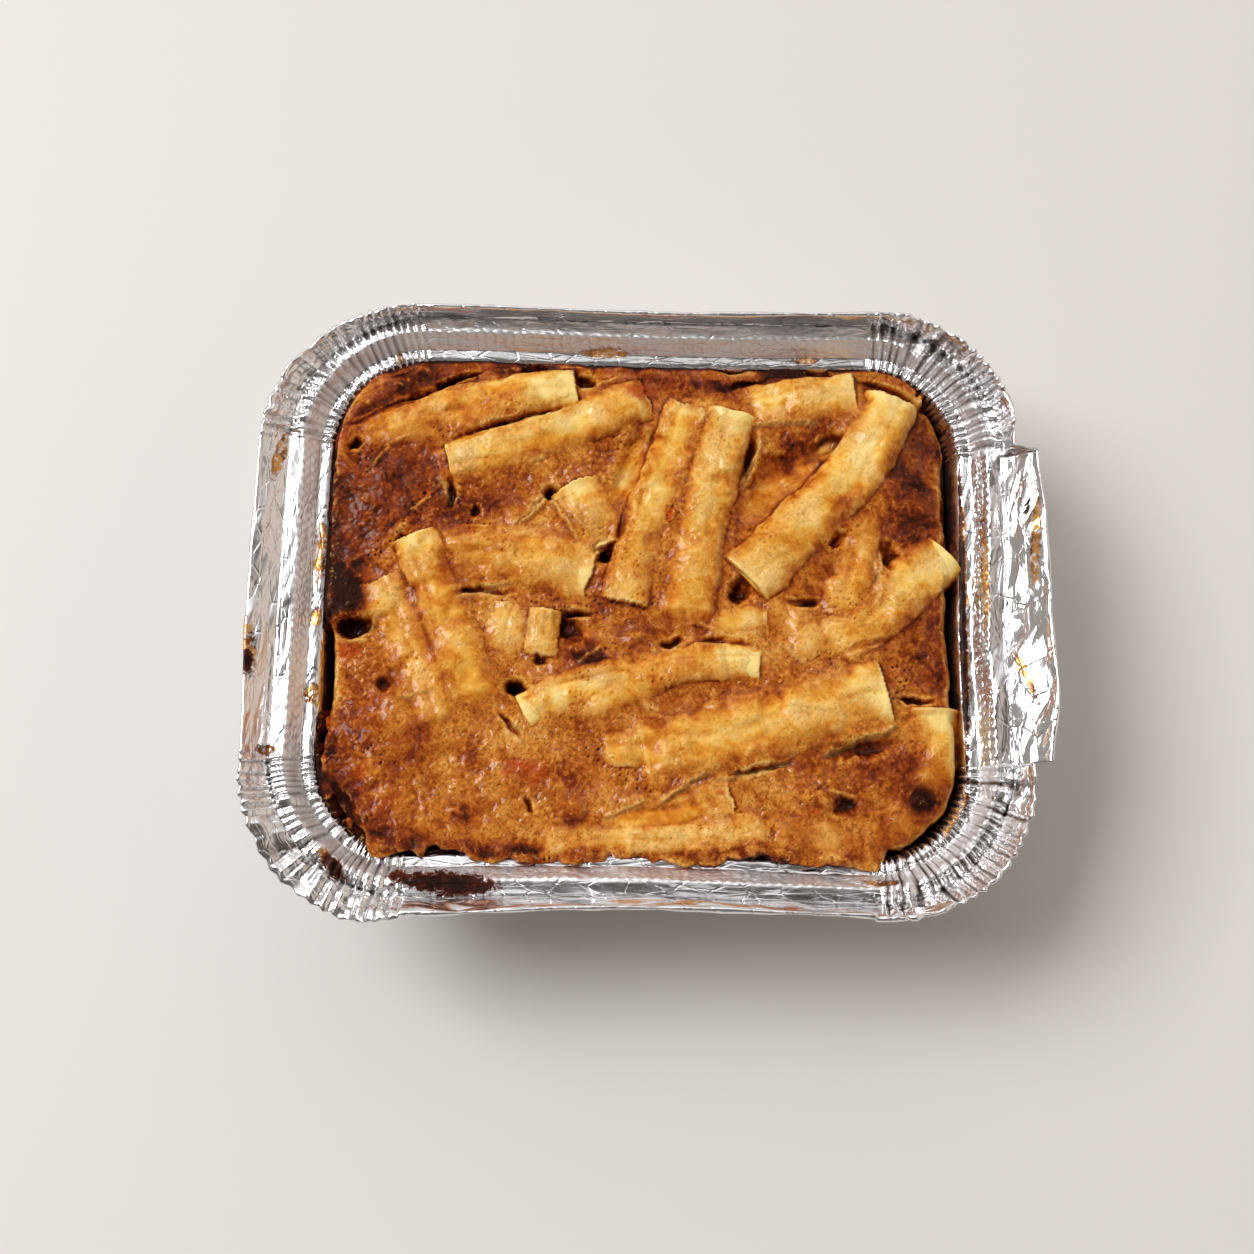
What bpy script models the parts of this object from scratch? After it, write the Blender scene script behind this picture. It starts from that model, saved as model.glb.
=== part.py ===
"""Baked penne in a foil takeaway tray.

Two solids: the pressed foil tray, with pleated corners and a lip that is bent
out at the two ends, and the bake that fills it, a set sauce with the penne
that show fused on. Lengths are in millimetres until they reach Blender.
+X runs along the tray, +Y to its back, +Z up; the origin is the middle of the
flat base.
"""

import math

import bmesh
import bpy
from mathutils import Vector

MM = 0.001
TINY = 1e-6

# Tray: a No. 2 foil container, 141 x 116 over its flat ledge
LEDGE_HALF_X = 70.5
LEDGE_HALF_Y = 58.0
LEDGE_RADIUS = 27.0
LEDGE_HEIGHT = 37.5
LEDGE_WIDTH = 3.1
RISER_WIDTH = 1.8
SHOULDER_WIDTH = 3.7
SHOULDER_ROUND = 0.8
SHOULDER_HEIGHT = 34.2
WALL_HALF_X = LEDGE_HALF_X - LEDGE_WIDTH - RISER_WIDTH - SHOULDER_WIDTH
WALL_HALF_Y = LEDGE_HALF_Y - LEDGE_WIDTH - RISER_WIDTH - SHOULDER_WIDTH
WALL_RADIUS = LEDGE_RADIUS - LEDGE_WIDTH - RISER_WIDTH - SHOULDER_WIDTH
WALL_HEIGHT = 33.3
BASE_HALF_X = 53.0
BASE_HALF_Y = 40.5
BASE_RADIUS = 14.0
FOOT_ROUND = 2.2
FOOT_CHORDS = 2
BASE_SLACK = 0.05
RIDGE_INSETS = (8.0, 6.6, 5.2)
RIDGE_HEIGHT = 0.8
FOIL = 0.5
LIP_LENGTH = 6.3
BEAD_REACH = 0.5
BEAD_OUT = 0.72
BEAD_DOWN = 0.54

# Dents that handling left, in the rim: depth, middle along the side, reach along it
FRONT_DENT = (1.0, 0.0, 34.0)
BACK_DENT = (0.6, 10.0, 30.0)
RIGHT_DENT = (0.8, -6.0, 14.0)
DENT_FADE = 12.0
DENT_START = 24.0

# Pleats: two steps of the outline make one pleat
PLEATS_PER_CORNER = 15
CORNER_STEPS = 2 * PLEATS_PER_CORNER
SIDE_SHARES = (0.0, 0.05, 0.25, 0.5, 0.75, 0.95)
PLEAT_FADE = 0.10
PLEAT_ON_WALL = 0.34
PLEAT_ON_SHOULDER = 0.20
PLEAT_ON_LEDGE = 0.35
PLEAT_ON_LIP = 0.5

# How far the lip leans out from upright, in degrees, at even steps along each
# side and corner, going anticlockwise from the front end of the right side
LIP_LEAN = {
    "right": (76.0, 70.0, 60.0),
    "back_right": (5.0, 20.0, 18.0, 8.0, -10.0),
    "back": (-12.0, -20.0, -12.0),
    "back_left": (-12.0, 2.0, 18.0, 34.0, 45.0),
    "left": (54.0, 56.0, 38.0),
    "front_left": (36.0, 60.0, 84.0, 80.0, 38.0),
    "front": (30.0, 18.0, 17.0),
    "front_right": (22.0, 29.0, 39.0, 33.0, 22.0),
}
ZONES = list(LIP_LEAN)

# Zones where the lip has been pulled out longer than LIP_LENGTH
PULLED_LIP = {"right": (6.8, 8.9, 8.1, 7.4, 6.6)}

# Bake: the set sauce and its clearance to the foil
SAUCE_LEVEL = 33.6
SAUCE_GAP = 1.15
SAUCE_FLOOR = 1.9
BRIM_DROP = 1.6
SAUCE_FOOT_SCALE = 0.98
SAUCE_FIRST_STEP = 2.0

# How the sauce sinks or rises towards a side: change of height, direction in plan,
# distance along that direction at which it starts, distance over which it fades in
SLOPES = [
    (-3.2, (1.0, 0.0), 44.0, 18.0),
    (-2.0, (0.0, 1.0), 38.0, 12.0),
    (-2.4, (1.0, 1.0), 72.0, 26.0),
    (0.9, (-1.0, 0.0), 50.0, 10.0),
]
SAUCE_CORNER_STEPS = 9
SAUCE_SIDE_SHARES = [i / 9 for i in range(9)]
SAUCE_RINGS = (0.985, 0.94, 0.87, 0.79, 0.70, 0.61, 0.52, 0.43, 0.34, 0.25, 0.16, 0.08)

# Raised lumps of crust: x, y, height, reach in x, reach in y
LUMPS = [
    (-48.0, -30.0, 1.5, 10.0, 16.0),
    (-21.0, -35.0, 1.0, 9.0, 6.0),
    (-6.5, -8.5, 1.4, 8.0, 3.5),
    (-50.0, 22.0, 1.3, 8.0, 9.0),
    (53.5, 21.0, 2.0, 6.0, 5.0),
    (-13.0, -41.0, 1.9, 3.0, 3.0),
    (-10.0, -49.8, 1.6, 4.0, 2.4),
    (10.5, -49.0, 1.6, 4.0, 2.4),
    (24.5, -49.0, 2.0, 5.0, 3.0),
    (37.0, -49.6, 1.6, 4.0, 2.4),
    (54.0, -37.5, 1.6, 3.2, 3.2),
    (34.0, -38.0, 1.8, 5.0, 3.0),
]

# Places where the crust has sunk or opened: x, y, depth, reach in x, reach in y, turn
HOLLOWS = [
    (-57.5, -5.5, 5.0, 4.2, 2.4, 0.0),
    (-18.5, 22.5, 5.0, 2.2, 2.2, 0.0),
    (-7.5, 9.9, 4.5, 2.6, 2.4, 0.0),
    (-24.0, -17.8, 4.5, 2.2, 2.0, 0.0),
    (-14.0, -8.0, 3.5, 3.5, 3.0, 0.0),
    (-27.0, 37.5, 4.0, 11.0, 1.3, 20.0),
    (30.0, 48.5, 5.0, 12.0, 1.8, 12.0),
    (-22.0, 48.6, 3.0, 9.0, 1.6, 0.0),
    (60.5, 8.0, 3.5, 1.8, 24.0, 2.0),
    (-1.0, 26.0, 4.0, 3.5, 8.0, -20.0),
    (25.0, 26.0, 4.5, 13.0, 4.5, 45.0),
    (42.0, -27.5, 1.6, 7.0, 2.2, 10.0),
    (4.0, -38.8, 2.0, 8.0, 2.2, 6.0),
    (-61.0, -16.0, 3.0, 1.8, 9.0, 0.0),
    (-57.0, -42.0, 4.0, 3.0, 7.0, 30.0),
    (29.7, 0.8, 3.0, 2.6, 2.0, 0.0),
    (14.0, -7.2, 2.0, 6.0, 1.6, 0.0),
]

# Penne that show, named by place: centre line in plan, width, and the height of
# the tube's top at its first and last point
PENNE = {
    "far_left": (
        [(-56.0, 32.0), (-47.0, 35.2), (-36.0, 38.8), (-25.0, 41.6), (-13.8, 43.0)],
        8.8, 35.0, 37.2,
    ),
    "far_left_inner": (
        [(-38.7, 27.3), (-28.9, 30.0), (-17.1, 35.5), (-7.3, 39.4), (0.7, 41.9)],
        9.2, 36.6, 36.8,
    ),
    "under_far_left": ([(0.8, 36.5), (-3.0, 26.0), (-6.8, 16.0)], 9.0, 33.0, 33.6),
    "left_of_pair": ([(9.2, 40.0), (3.9, 26.5), (-0.9, 14.1), (-4.4, 0.6)], 8.4, 36.2, 37.0),
    "right_of_pair": (
        [(17.4, 38.4), (13.2, 24.6), (9.9, 12.2), (8.2, 0.0), (9.0, -6.0)],
        10.2, 38.4, 36.4,
    ),
    "far_right": ([(19.6, 39.0), (30.6, 42.0), (41.0, 42.8)], 9.2, 35.4, 37.4),
    "under_far_right": ([(42.0, 34.0), (30.0, 26.0), (19.0, 17.0)], 11.0, 32.6, 33.2),
    "diagonal": (
        [(47.6, 40.2), (44.0, 31.5), (35.4, 19.9), (26.5, 10.5), (19.7, 3.3)],
        10.4, 38.4, 38.0,
    ),
    "right_end": ([(56.0, 8.4), (51.0, 3.2), (43.9, -3.2), (33.0, -10.6)], 10.2, 35.4, 35.2),
    "right_short": ([(43.4, 19.0), (40.8, 7.5), (37.0, -4.0)], 9.6, 34.6, 35.8),
    "right_stub": ([(24.0, 1.2), (28.5, -4.5), (32.4, -9.6)], 8.6, 34.4, 35.6),
    "open_stub": ([(13.6, -5.8), (17.4, -5.2), (21.6, -4.4)], 7.0, 34.6, 36.6),
    "flat_left": ([(-42.0, 7.0), (-28.1, 7.8), (-18.3, 6.0), (-10.6, 4.1)], 12.0, 34.6, 36.4),
    "long_left": ([(-51.2, 5.0), (-45.6, -5.0), (-39.6, -16.8), (-34.3, -28.3)], 9.6, 35.2, 35.0),
    "ridge_left": ([(-45.6, 10.6), (-39.4, -0.9), (-34.0, -12.7), (-28.8, -24.3)], 9.4, 37.4, 35.8),
    "thin_centre": ([(-22.9, -23.2), (-15.6, -19.2), (-8.0, -16.1), (-2.3, -13.7)], 6.6, 36.4, 36.2),
    "bent_centre": (
        [(22.0, -12.0), (13.0, -11.6), (5.4, -13.4), (-2.3, -17.0), (-9.8, -21.0)],
        7.2, 37.0, 35.6,
    ),
    "broad_front": ([(47.6, -18.3), (30.2, -22.8), (11.2, -28.4), (-0.1, -31.5)], 13.6, 36.6, 35.0),
    "sunk_front": ([(-9.0, -28.9), (1.0, -28.6), (11.2, -27.8)], 7.4, 35.0, 35.2),
    "right_front": ([(54.9, -19.8), (54.2, -29.0), (51.4, -37.4)], 10.4, 34.6, 32.8),
    "flap_front": ([(-9.0, -43.2), (3.8, -41.4), (17.6, -38.2)], 8.4, 34.4, 34.8),
    "front_edge": ([(-19.0, -44.4), (-3.5, -44.2), (11.4, -43.8), (24.5, -42.4)], 6.8, 34.8, 34.8),
    "front_stub": ([(25.4, -43.2), (32.0, -43.6), (38.6, -43.4)], 7.6, 34.4, 34.6),
    "corner_front": ([(31.0, -44.0), (42.0, -43.0), (50.8, -37.8)], 6.8, 33.6, 32.6),
    "centre_hump": ([(-13.4, 23.4), (-10.4, 17.6), (-7.2, 10.4)], 9.6, 35.6, 35.0),
    "upright_left": ([(-26.7, -0.8), (-27.0, -5.8), (-27.4, -10.6)], 7.0, 35.0, 35.0),
    "upright_right": ([(-18.9, -1.6), (-19.5, -6.4), (-20.1, -11.4)], 5.8, 36.0, 35.6),
}
TUBE_SIDES = 12
TUBE_STATIONS = 6
FULL_LENGTH = 45.0
TUBE_FLATNESS = 0.80
TUBE_BORE = 0.62
BORE_DEPTH = 2.5

FOIL_COLOUR = (0.82, 0.83, 0.84, 1.0)
BAKE_COLOUR = (0.78, 0.43, 0.12, 1.0)


def smooth(t):
    """0 below 0, 1 above 1, and an S-curve between."""
    t = min(max(t, 0.0), 1.0)
    return t * t * (3.0 - 2.0 * t)


def rounded_rectangle(half_x, half_y, radius, corner_steps, side_shares):
    """Points round a rounded rectangle, anticlockwise from the foot of the right side.

    Each is (x, y, outward angle, zone number, share of the way along the zone)."""
    centres = [(1, 1), (-1, 1), (-1, -1), (1, -1)]
    run_x, run_y = half_x - radius, half_y - radius
    points = []
    for corner, (sign_x, sign_y) in enumerate(centres):
        facing = corner * math.pi / 2.0
        centre_x, centre_y = sign_x * run_x, sign_y * run_y
        before_x, before_y = centres[corner - 1]
        start = Vector((before_x * run_x, before_y * run_y))
        end = Vector((centre_x, centre_y))
        out = Vector((math.cos(facing), math.sin(facing))) * radius
        for share in side_shares:
            place = start.lerp(end, share) + out
            points.append((place.x, place.y, facing, 2 * corner, share))
        for step in range(corner_steps):
            share = step / corner_steps
            angle = facing + share * math.pi / 2.0
            x = centre_x + radius * math.cos(angle)
            y = centre_y + radius * math.sin(angle)
            points.append((x, y, angle, 2 * corner + 1, share))
    return points


def pleat(zone, share, step):
    """A zigzag of one pleat for two steps, fading at both ends of a corner."""
    if zone % 2 == 0:
        return 0.0
    fade = smooth(share / PLEAT_FADE) * smooth((1.0 - share) / PLEAT_FADE)
    return fade * (1.0 if step % 2 else -1.0)


def read_table(table, share):
    """A short table read at a share of the way, blended by S-curves between its entries."""
    place = share * (len(table) - 1)
    i = min(int(place), len(table) - 2)
    return table[i] + (table[i + 1] - table[i]) * smooth(place - i)


def lean(zone, share):
    """How far the lip leans out here, in radians."""
    return math.radians(read_table(LIP_LEAN[ZONES[zone]], share))


def lip_length(zone, share):
    """How long the lip is here, up to its bead."""
    pulled = PULLED_LIP.get(ZONES[zone])
    return read_table(pulled, share) if pulled else LIP_LENGTH


def dent(shape, along, outward, half):
    """How far a side is pushed in here; `half` is where its wall stands."""
    depth, middle, reach = shape
    near_side = smooth((outward - half + DENT_FADE) / DENT_FADE)
    return depth * near_side * math.exp(-(((along - middle) / reach) ** 2))


def bend_rim(x, y, z):
    """The dents that handling left: the front side bows in, the back and right ones a little."""
    share = smooth((z - DENT_START) / DENT_FADE)
    front = dent(FRONT_DENT, x, -y, WALL_HALF_Y)
    back = dent(BACK_DENT, x, y, WALL_HALF_Y)
    right = dent(RIGHT_DENT, y, x, WALL_HALF_X)
    return x - right * share, y + (front - back) * share, z


def chord_offset(facing):
    """From the round corner to its chord, for a radius of 1: the base stands on coarse corners."""
    step = math.pi / 2.0 / FOOT_CHORDS
    start = math.floor(facing / step + TINY) * step
    share = (facing - start) / step
    x = (1.0 - share) * math.cos(start) + share * math.cos(start + step) - math.cos(facing)
    y = (1.0 - share) * math.sin(start) + share * math.sin(start + step) - math.sin(facing)
    return x, y


def wall_profile():
    """Rings of the foil's middle surface up to the ledge.

    Each is an outline, a height, the pleat sideways and up, and how coarse its corners are."""
    floor = FOIL / 2.0

    def base(inset, height, coarse=1.0):
        return (BASE_HALF_X - inset, BASE_HALF_Y - inset, BASE_RADIUS - 0.5 * inset, height, 0.0, 0.0, coarse)

    def rim(outset, height, aside, up):
        return (WALL_HALF_X + outset, WALL_HALF_Y + outset, WALL_RADIUS + outset, height, aside, up, 0.0)

    ridge_start, ridge_top, ridge_end = RIDGE_INSETS
    riser = SHOULDER_WIDTH + RISER_WIDTH
    return [
        base(ridge_start, floor),
        base(ridge_top, floor + RIDGE_HEIGHT),
        base(ridge_end, floor),
        base(0.0, floor),
        base(-FOOT_ROUND, floor + FOOT_ROUND, 0.0),
        rim(0.0, WALL_HEIGHT, PLEAT_ON_WALL, 0.0),
        rim(SHOULDER_ROUND, SHOULDER_HEIGHT, PLEAT_ON_WALL, PLEAT_ON_SHOULDER),
        rim(SHOULDER_WIDTH, SHOULDER_HEIGHT, PLEAT_ON_SHOULDER, PLEAT_ON_SHOULDER),
        rim(riser, LEDGE_HEIGHT, PLEAT_ON_SHOULDER, PLEAT_ON_SHOULDER),
        rim(riser + LEDGE_WIDTH, LEDGE_HEIGHT, 0.0, PLEAT_ON_LEDGE),
    ]


def foil_rings():
    """The foil's middle surface, as rings of points that match one to one."""
    rings = []
    for half_x, half_y, radius, height, aside, up, coarse in wall_profile():
        ring = []
        outline = rounded_rectangle(half_x, half_y, radius, CORNER_STEPS, SIDE_SHARES)
        for step, (x, y, facing, zone, share) in enumerate(outline):
            fold = pleat(zone, share, step)
            chord_x, chord_y = chord_offset(facing)
            x += aside * fold * math.cos(facing) + coarse * radius * chord_x
            y += aside * fold * math.sin(facing) + coarse * radius * chord_y
            ring.append(bend_rim(x, y, height + up * fold))
        rings.append(ring)
    outline = rounded_rectangle(LEDGE_HALF_X, LEDGE_HALF_Y, LEDGE_RADIUS, CORNER_STEPS, SIDE_SHARES)
    for further, bead_out, bead_down in ((0.0, 0.0, 0.0), (BEAD_REACH, BEAD_OUT, BEAD_DOWN)):
        ring = []
        for step, (x, y, facing, zone, share) in enumerate(outline):
            tip = lean(zone, share)
            along = lip_length(zone, share) + further
            off = PLEAT_ON_LIP * pleat(zone, share, step) + bead_out
            out = along * math.sin(tip) + off * math.cos(tip)
            rise = along * math.cos(tip) - off * math.sin(tip) - bead_down
            place = (x + out * math.cos(facing), y + out * math.sin(facing), LEDGE_HEIGHT + rise)
            ring.append(bend_rim(*place))
        rings.append(ring)
    return rings


def skin(bm, rings):
    """Joins rings of points, one to the next, with four-sided faces."""
    rows = [[bm.verts.new(Vector(p) * MM) for p in ring] for ring in rings]
    count = len(rows[0])
    for lower, upper in zip(rows, rows[1:]):
        for i in range(count):
            j = (i + 1) % count
            bm.faces.new((lower[i], lower[j], upper[j], upper[i]))
    return rows


def add_object(name, bm, material):
    """Makes a named object of a bmesh, with its normals pointing out."""
    bmesh.ops.recalc_face_normals(bm, faces=bm.faces)
    mesh = bpy.data.meshes.new(name)
    bm.to_mesh(mesh)
    bm.free()
    if material:
        mesh.materials.append(material)
    obj = bpy.data.objects.new(name, mesh)
    bpy.context.scene.collection.objects.link(obj)
    return obj


def make_material(name, colour, metallic, roughness):
    material = bpy.data.materials.new(name)
    material.use_nodes = True
    shader = material.node_tree.nodes["Principled BSDF"]
    shader.inputs["Base Color"].default_value = colour
    shader.inputs["Metallic"].default_value = metallic
    shader.inputs["Roughness"].default_value = roughness
    return material


def level_base(tray):
    """Applies the thickness, then brings the underside of the base to exactly z = 0."""
    depsgraph = bpy.context.evaluated_depsgraph_get()
    mesh = bpy.data.meshes.new_from_object(tray.evaluated_get(depsgraph))
    tray.modifiers.clear()
    tray.data = mesh
    for vertex in mesh.vertices:
        if abs(vertex.co.z) < BASE_SLACK * MM:
            vertex.co.z = 0.0


def make_tray():
    """The foil tray: its middle surface, given a thickness by Solidify."""
    bm = bmesh.new()
    rows = skin(bm, foil_rings())
    bm.faces.new(list(reversed(rows[0])))
    tray = add_object("foil_tray", bm, make_material("foil", FOIL_COLOUR, 1.0, 0.25))
    solidify = tray.modifiers.new("foil_thickness", "SOLIDIFY")
    solidify.thickness = FOIL * MM
    solidify.offset = 0.0
    solidify.use_even_offset = True
    level_base(tray)
    return tray


def crust_height(x, y):
    """Height of the set sauce at a point in plan, before the penne."""
    height = SAUCE_LEVEL
    for change, (way_x, way_y), start, fade in SLOPES:
        height += change * smooth((x * way_x + y * way_y - start) / fade)
    for lump_x, lump_y, rise, reach_x, reach_y in LUMPS:
        away = ((x - lump_x) / reach_x) ** 2 + ((y - lump_y) / reach_y) ** 2
        height += rise * math.exp(-away)
    for pit_x, pit_y, depth, reach_x, reach_y, turn in HOLLOWS:
        angle = math.radians(turn)
        along = (x - pit_x) * math.cos(angle) + (y - pit_y) * math.sin(angle)
        across = (y - pit_y) * math.cos(angle) - (x - pit_x) * math.sin(angle)
        height -= depth * math.exp(-((along / reach_x) ** 2) - (across / reach_y) ** 2)
    return height


def sauce_outline(height):
    """The bake's side at one height: the foil wall's outline less the clearance."""
    low = FOIL / 2.0 + FOOT_ROUND
    share = min(max((height - low) / (WALL_HEIGHT - low), 0.0), 1.0)
    foot = (BASE_HALF_X + FOOT_ROUND, BASE_HALF_Y + FOOT_ROUND, BASE_RADIUS + 0.5 * FOOT_ROUND)
    wall = (WALL_HALF_X, WALL_HALF_Y, WALL_RADIUS)
    half_x, half_y, radius = (a + share * (b - a) - SAUCE_GAP for a, b in zip(foot, wall))
    return rounded_rectangle(half_x, half_y, radius, SAUCE_CORNER_STEPS, SAUCE_SIDE_SHARES)


def make_sauce():
    """The core of the bake: rings up the wall, then rings in to the middle of the top."""
    bm = bmesh.new()
    rings = []
    foot = [(SAUCE_FOOT_SCALE * x, SAUCE_FOOT_SCALE * y) for x, y, *_ in sauce_outline(SAUCE_FLOOR)]
    rings.append([(x, y, SAUCE_FLOOR) for x, y in foot])
    first = SAUCE_FLOOR + SAUCE_FIRST_STEP
    rings.append([(x, y, first) for x, y, *_ in sauce_outline(first)])
    brim = []
    for i, (x, y, *_) in enumerate(sauce_outline(SAUCE_LEVEL)):
        height = crust_height(x, y) - BRIM_DROP
        x, y, *_ = sauce_outline(height)[i]
        brim.append(bend_rim(x, y, height))
    rings.append(brim)
    for scale in SAUCE_RINGS:
        ring = [(scale * x, scale * y) for x, y, _ in brim]
        rings.append([(x, y, crust_height(x, y)) for x, y in ring])
    rows = skin(bm, rings)
    bm.faces.new(list(reversed(rows[0])))
    middle = bm.verts.new(Vector((0.0, 0.0, crust_height(0.0, 0.0))) * MM)
    inner = rows[-1]
    for i, vert in enumerate(inner):
        bm.faces.new((vert, inner[(i + 1) % len(inner)], middle))
    return add_object("pasta_bake", bm, make_material("bake", BAKE_COLOUR, 0.0, 0.45))


def along_line(points, share):
    """A point on the smooth curve through the given points, and its direction."""
    count = len(points) - 1
    place = min(share, 0.9999) * count
    i = int(place)
    t = place - i
    before = points[max(i - 1, 0)]
    after = points[min(i + 2, count)]
    start, end = points[i], points[i + 1]
    leave, arrive = (end - before) * 0.5, (after - start) * 0.5
    spot = (
        start * (2 * t**3 - 3 * t**2 + 1)
        + leave * (t**3 - 2 * t**2 + t)
        + end * (3 * t**2 - 2 * t**3)
        + arrive * (t**3 - t**2)
    )
    step = (
        start * (6 * t**2 - 6 * t)
        + leave * (3 * t**2 - 4 * t + 1)
        + end * (6 * t - 6 * t**2)
        + arrive * (3 * t**2 - 2 * t)
    )
    return spot, step.normalized()


def make_penne(name, line, width, top_start, top_end):
    """One tube of pasta, a little flattened, with a blind bore at each end."""
    tall = width * TUBE_FLATNESS
    last = len(line) - 1
    points = [
        Vector((x, y, top_start + (top_end - top_start) * i / last - tall / 2.0))
        for i, (x, y) in enumerate(line)
    ]
    length = sum((b - a).length for a, b in zip(points, points[1:]))
    stations = max(2, round(TUBE_STATIONS * length / FULL_LENGTH))

    def ring_at(share, scale):
        spot, ahead = along_line(points, share)
        aside = ahead.cross(Vector((0.0, 0.0, 1.0))).normalized()
        up = aside.cross(ahead)
        ring = []
        for k in range(TUBE_SIDES):
            angle = 2.0 * math.pi * k / TUBE_SIDES
            out = aside * (math.cos(angle) * scale * width / 2.0)
            ring.append(spot + out + up * (math.sin(angle) * scale * tall / 2.0))
        return ring

    deep = BORE_DEPTH / length
    rings = [ring_at(deep, TUBE_BORE), ring_at(0.0, TUBE_BORE)]
    rings += [ring_at(i / stations, 1.0) for i in range(stations + 1)]
    rings += [ring_at(1.0, TUBE_BORE), ring_at(1.0 - deep, TUBE_BORE)]
    bm = bmesh.new()
    rows = skin(bm, rings)
    bm.faces.new(list(reversed(rows[0])))
    bm.faces.new(rows[-1])
    return add_object("penne_" + name, bm, None)


def keep_largest_body(bm):
    """Drops what the union left apart from the main body: sealed hollows and scraps."""
    left = set(bm.verts)
    bodies = []
    while left:
        body, edge = set(), [left.pop()]
        while edge:
            vert = edge.pop()
            body.add(vert)
            near = {e.other_vert(vert) for e in vert.link_edges} & left
            left -= near
            edge.extend(near)
        bodies.append(body)
    bodies.sort(key=len)
    for body in bodies[:-1]:
        bmesh.ops.delete(bm, geom=list(body), context="VERTS")


def fuse(core, pieces):
    """One Boolean union of the core with the pieces, applied; the pieces are removed."""
    group = bpy.data.collections.new("penne_that_show")
    bpy.context.scene.collection.children.link(group)
    for piece in pieces:
        bpy.context.scene.collection.objects.unlink(piece)
        group.objects.link(piece)
    union = core.modifiers.new("union", "BOOLEAN")
    union.operation = "UNION"
    union.operand_type = "COLLECTION"
    union.collection = group
    union.solver = "EXACT"
    bpy.context.view_layer.update()
    fused = core.evaluated_get(bpy.context.evaluated_depsgraph_get())
    bm = bmesh.new()
    bm.from_mesh(fused.to_mesh())
    core.modifiers.remove(union)
    keep_largest_body(bm)
    spare = [v for v in bm.verts if len(v.link_edges) == 2 and min(len(f.verts) for f in v.link_faces) > 3]
    bmesh.ops.dissolve_verts(bm, verts=spare)
    bmesh.ops.triangulate(bm, faces=bm.faces)
    bm.to_mesh(core.data)
    bm.free()
    for piece in pieces:
        bpy.data.objects.remove(piece)
    bpy.data.collections.remove(group)


def main():
    for obj in list(bpy.data.objects):
        bpy.data.objects.remove(obj)
    make_tray()
    sauce = make_sauce()
    tubes = [make_penne(name, *shape) for name, shape in PENNE.items()]
    fuse(sauce, tubes)


main()
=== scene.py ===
# %% [markdown]
# # A baked penne in its foil tray
#
# This lesson dresses two plain solids, a foil takeaway tray and the pasta bake
# in it, with the surfaces that the real meal has: pleated and crumpled foil,
# a porous browned cheese crust, and glossy tubes of pasta that break through it.
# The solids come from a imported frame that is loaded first. Their place and size
# are fixed, so everything below is built round them, in the same coordinates:
# metres, +Z up, the middle of the tray's base at the origin.

# %% Load the frame and keep its box
import math

import bpy
import numpy as np
from mathutils import Matrix, Vector


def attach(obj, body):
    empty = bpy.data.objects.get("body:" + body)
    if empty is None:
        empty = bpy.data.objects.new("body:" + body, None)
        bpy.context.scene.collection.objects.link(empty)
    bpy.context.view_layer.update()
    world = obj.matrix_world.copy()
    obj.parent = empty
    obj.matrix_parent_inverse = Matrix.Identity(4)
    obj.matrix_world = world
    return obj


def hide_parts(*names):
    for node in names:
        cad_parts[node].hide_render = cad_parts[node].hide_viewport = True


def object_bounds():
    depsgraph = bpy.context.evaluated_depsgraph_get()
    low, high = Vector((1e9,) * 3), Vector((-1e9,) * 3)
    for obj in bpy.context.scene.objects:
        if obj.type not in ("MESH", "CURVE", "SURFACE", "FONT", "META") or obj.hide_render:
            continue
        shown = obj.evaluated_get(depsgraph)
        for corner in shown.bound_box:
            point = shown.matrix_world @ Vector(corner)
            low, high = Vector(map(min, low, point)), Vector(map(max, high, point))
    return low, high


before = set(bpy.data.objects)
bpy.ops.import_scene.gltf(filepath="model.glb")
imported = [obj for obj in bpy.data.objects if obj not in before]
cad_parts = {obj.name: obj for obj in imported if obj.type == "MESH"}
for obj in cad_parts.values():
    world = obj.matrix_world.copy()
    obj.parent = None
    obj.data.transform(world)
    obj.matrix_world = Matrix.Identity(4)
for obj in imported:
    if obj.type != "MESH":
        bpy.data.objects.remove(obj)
cad_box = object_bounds()
MM = 0.001
print("frame nodes:", sorted(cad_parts))
print("frame size in mm:", [round((b - a) / MM, 1) for a, b in zip(*cad_box)])

# %% [markdown]
# ## Noise as arrays
#
# Food and foil are never smooth, so nearly every shape below needs noise. Blender
# has it in its shader nodes and in `mathutils.noise`, but the first can't move a
# mesh that is exported and the second works point by point. Here noise is plain
# numpy: random numbers on a square lattice, blended in between, for a whole array
# of points at once. Sums of it at finer and finer cells give lumps with detail.

# %% Smooth noise, sums of it, and cells
TABLES = {}
TABLE_SIZE = 256
GAIN = 0.55
# moves every lattice number above zero
SHIFT = 900.0
# a knock bends the triangles' lattice by this share of a cell
LATTICE_BEND = 1.1


def smooth(t):
    """S-curve: 0 below 0, 1 above 1, and 3t^2 - 2t^3 between."""
    t = np.clip(t, 0.0, 1.0)
    return t * t * (3.0 - 2.0 * t)


def random_table(seed):
    """A square table of random numbers from 0 to 1, made once for each seed."""
    if seed not in TABLES:
        TABLES[seed] = np.random.default_rng(seed).random((TABLE_SIZE, TABLE_SIZE))
    return TABLES[seed]


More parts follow.
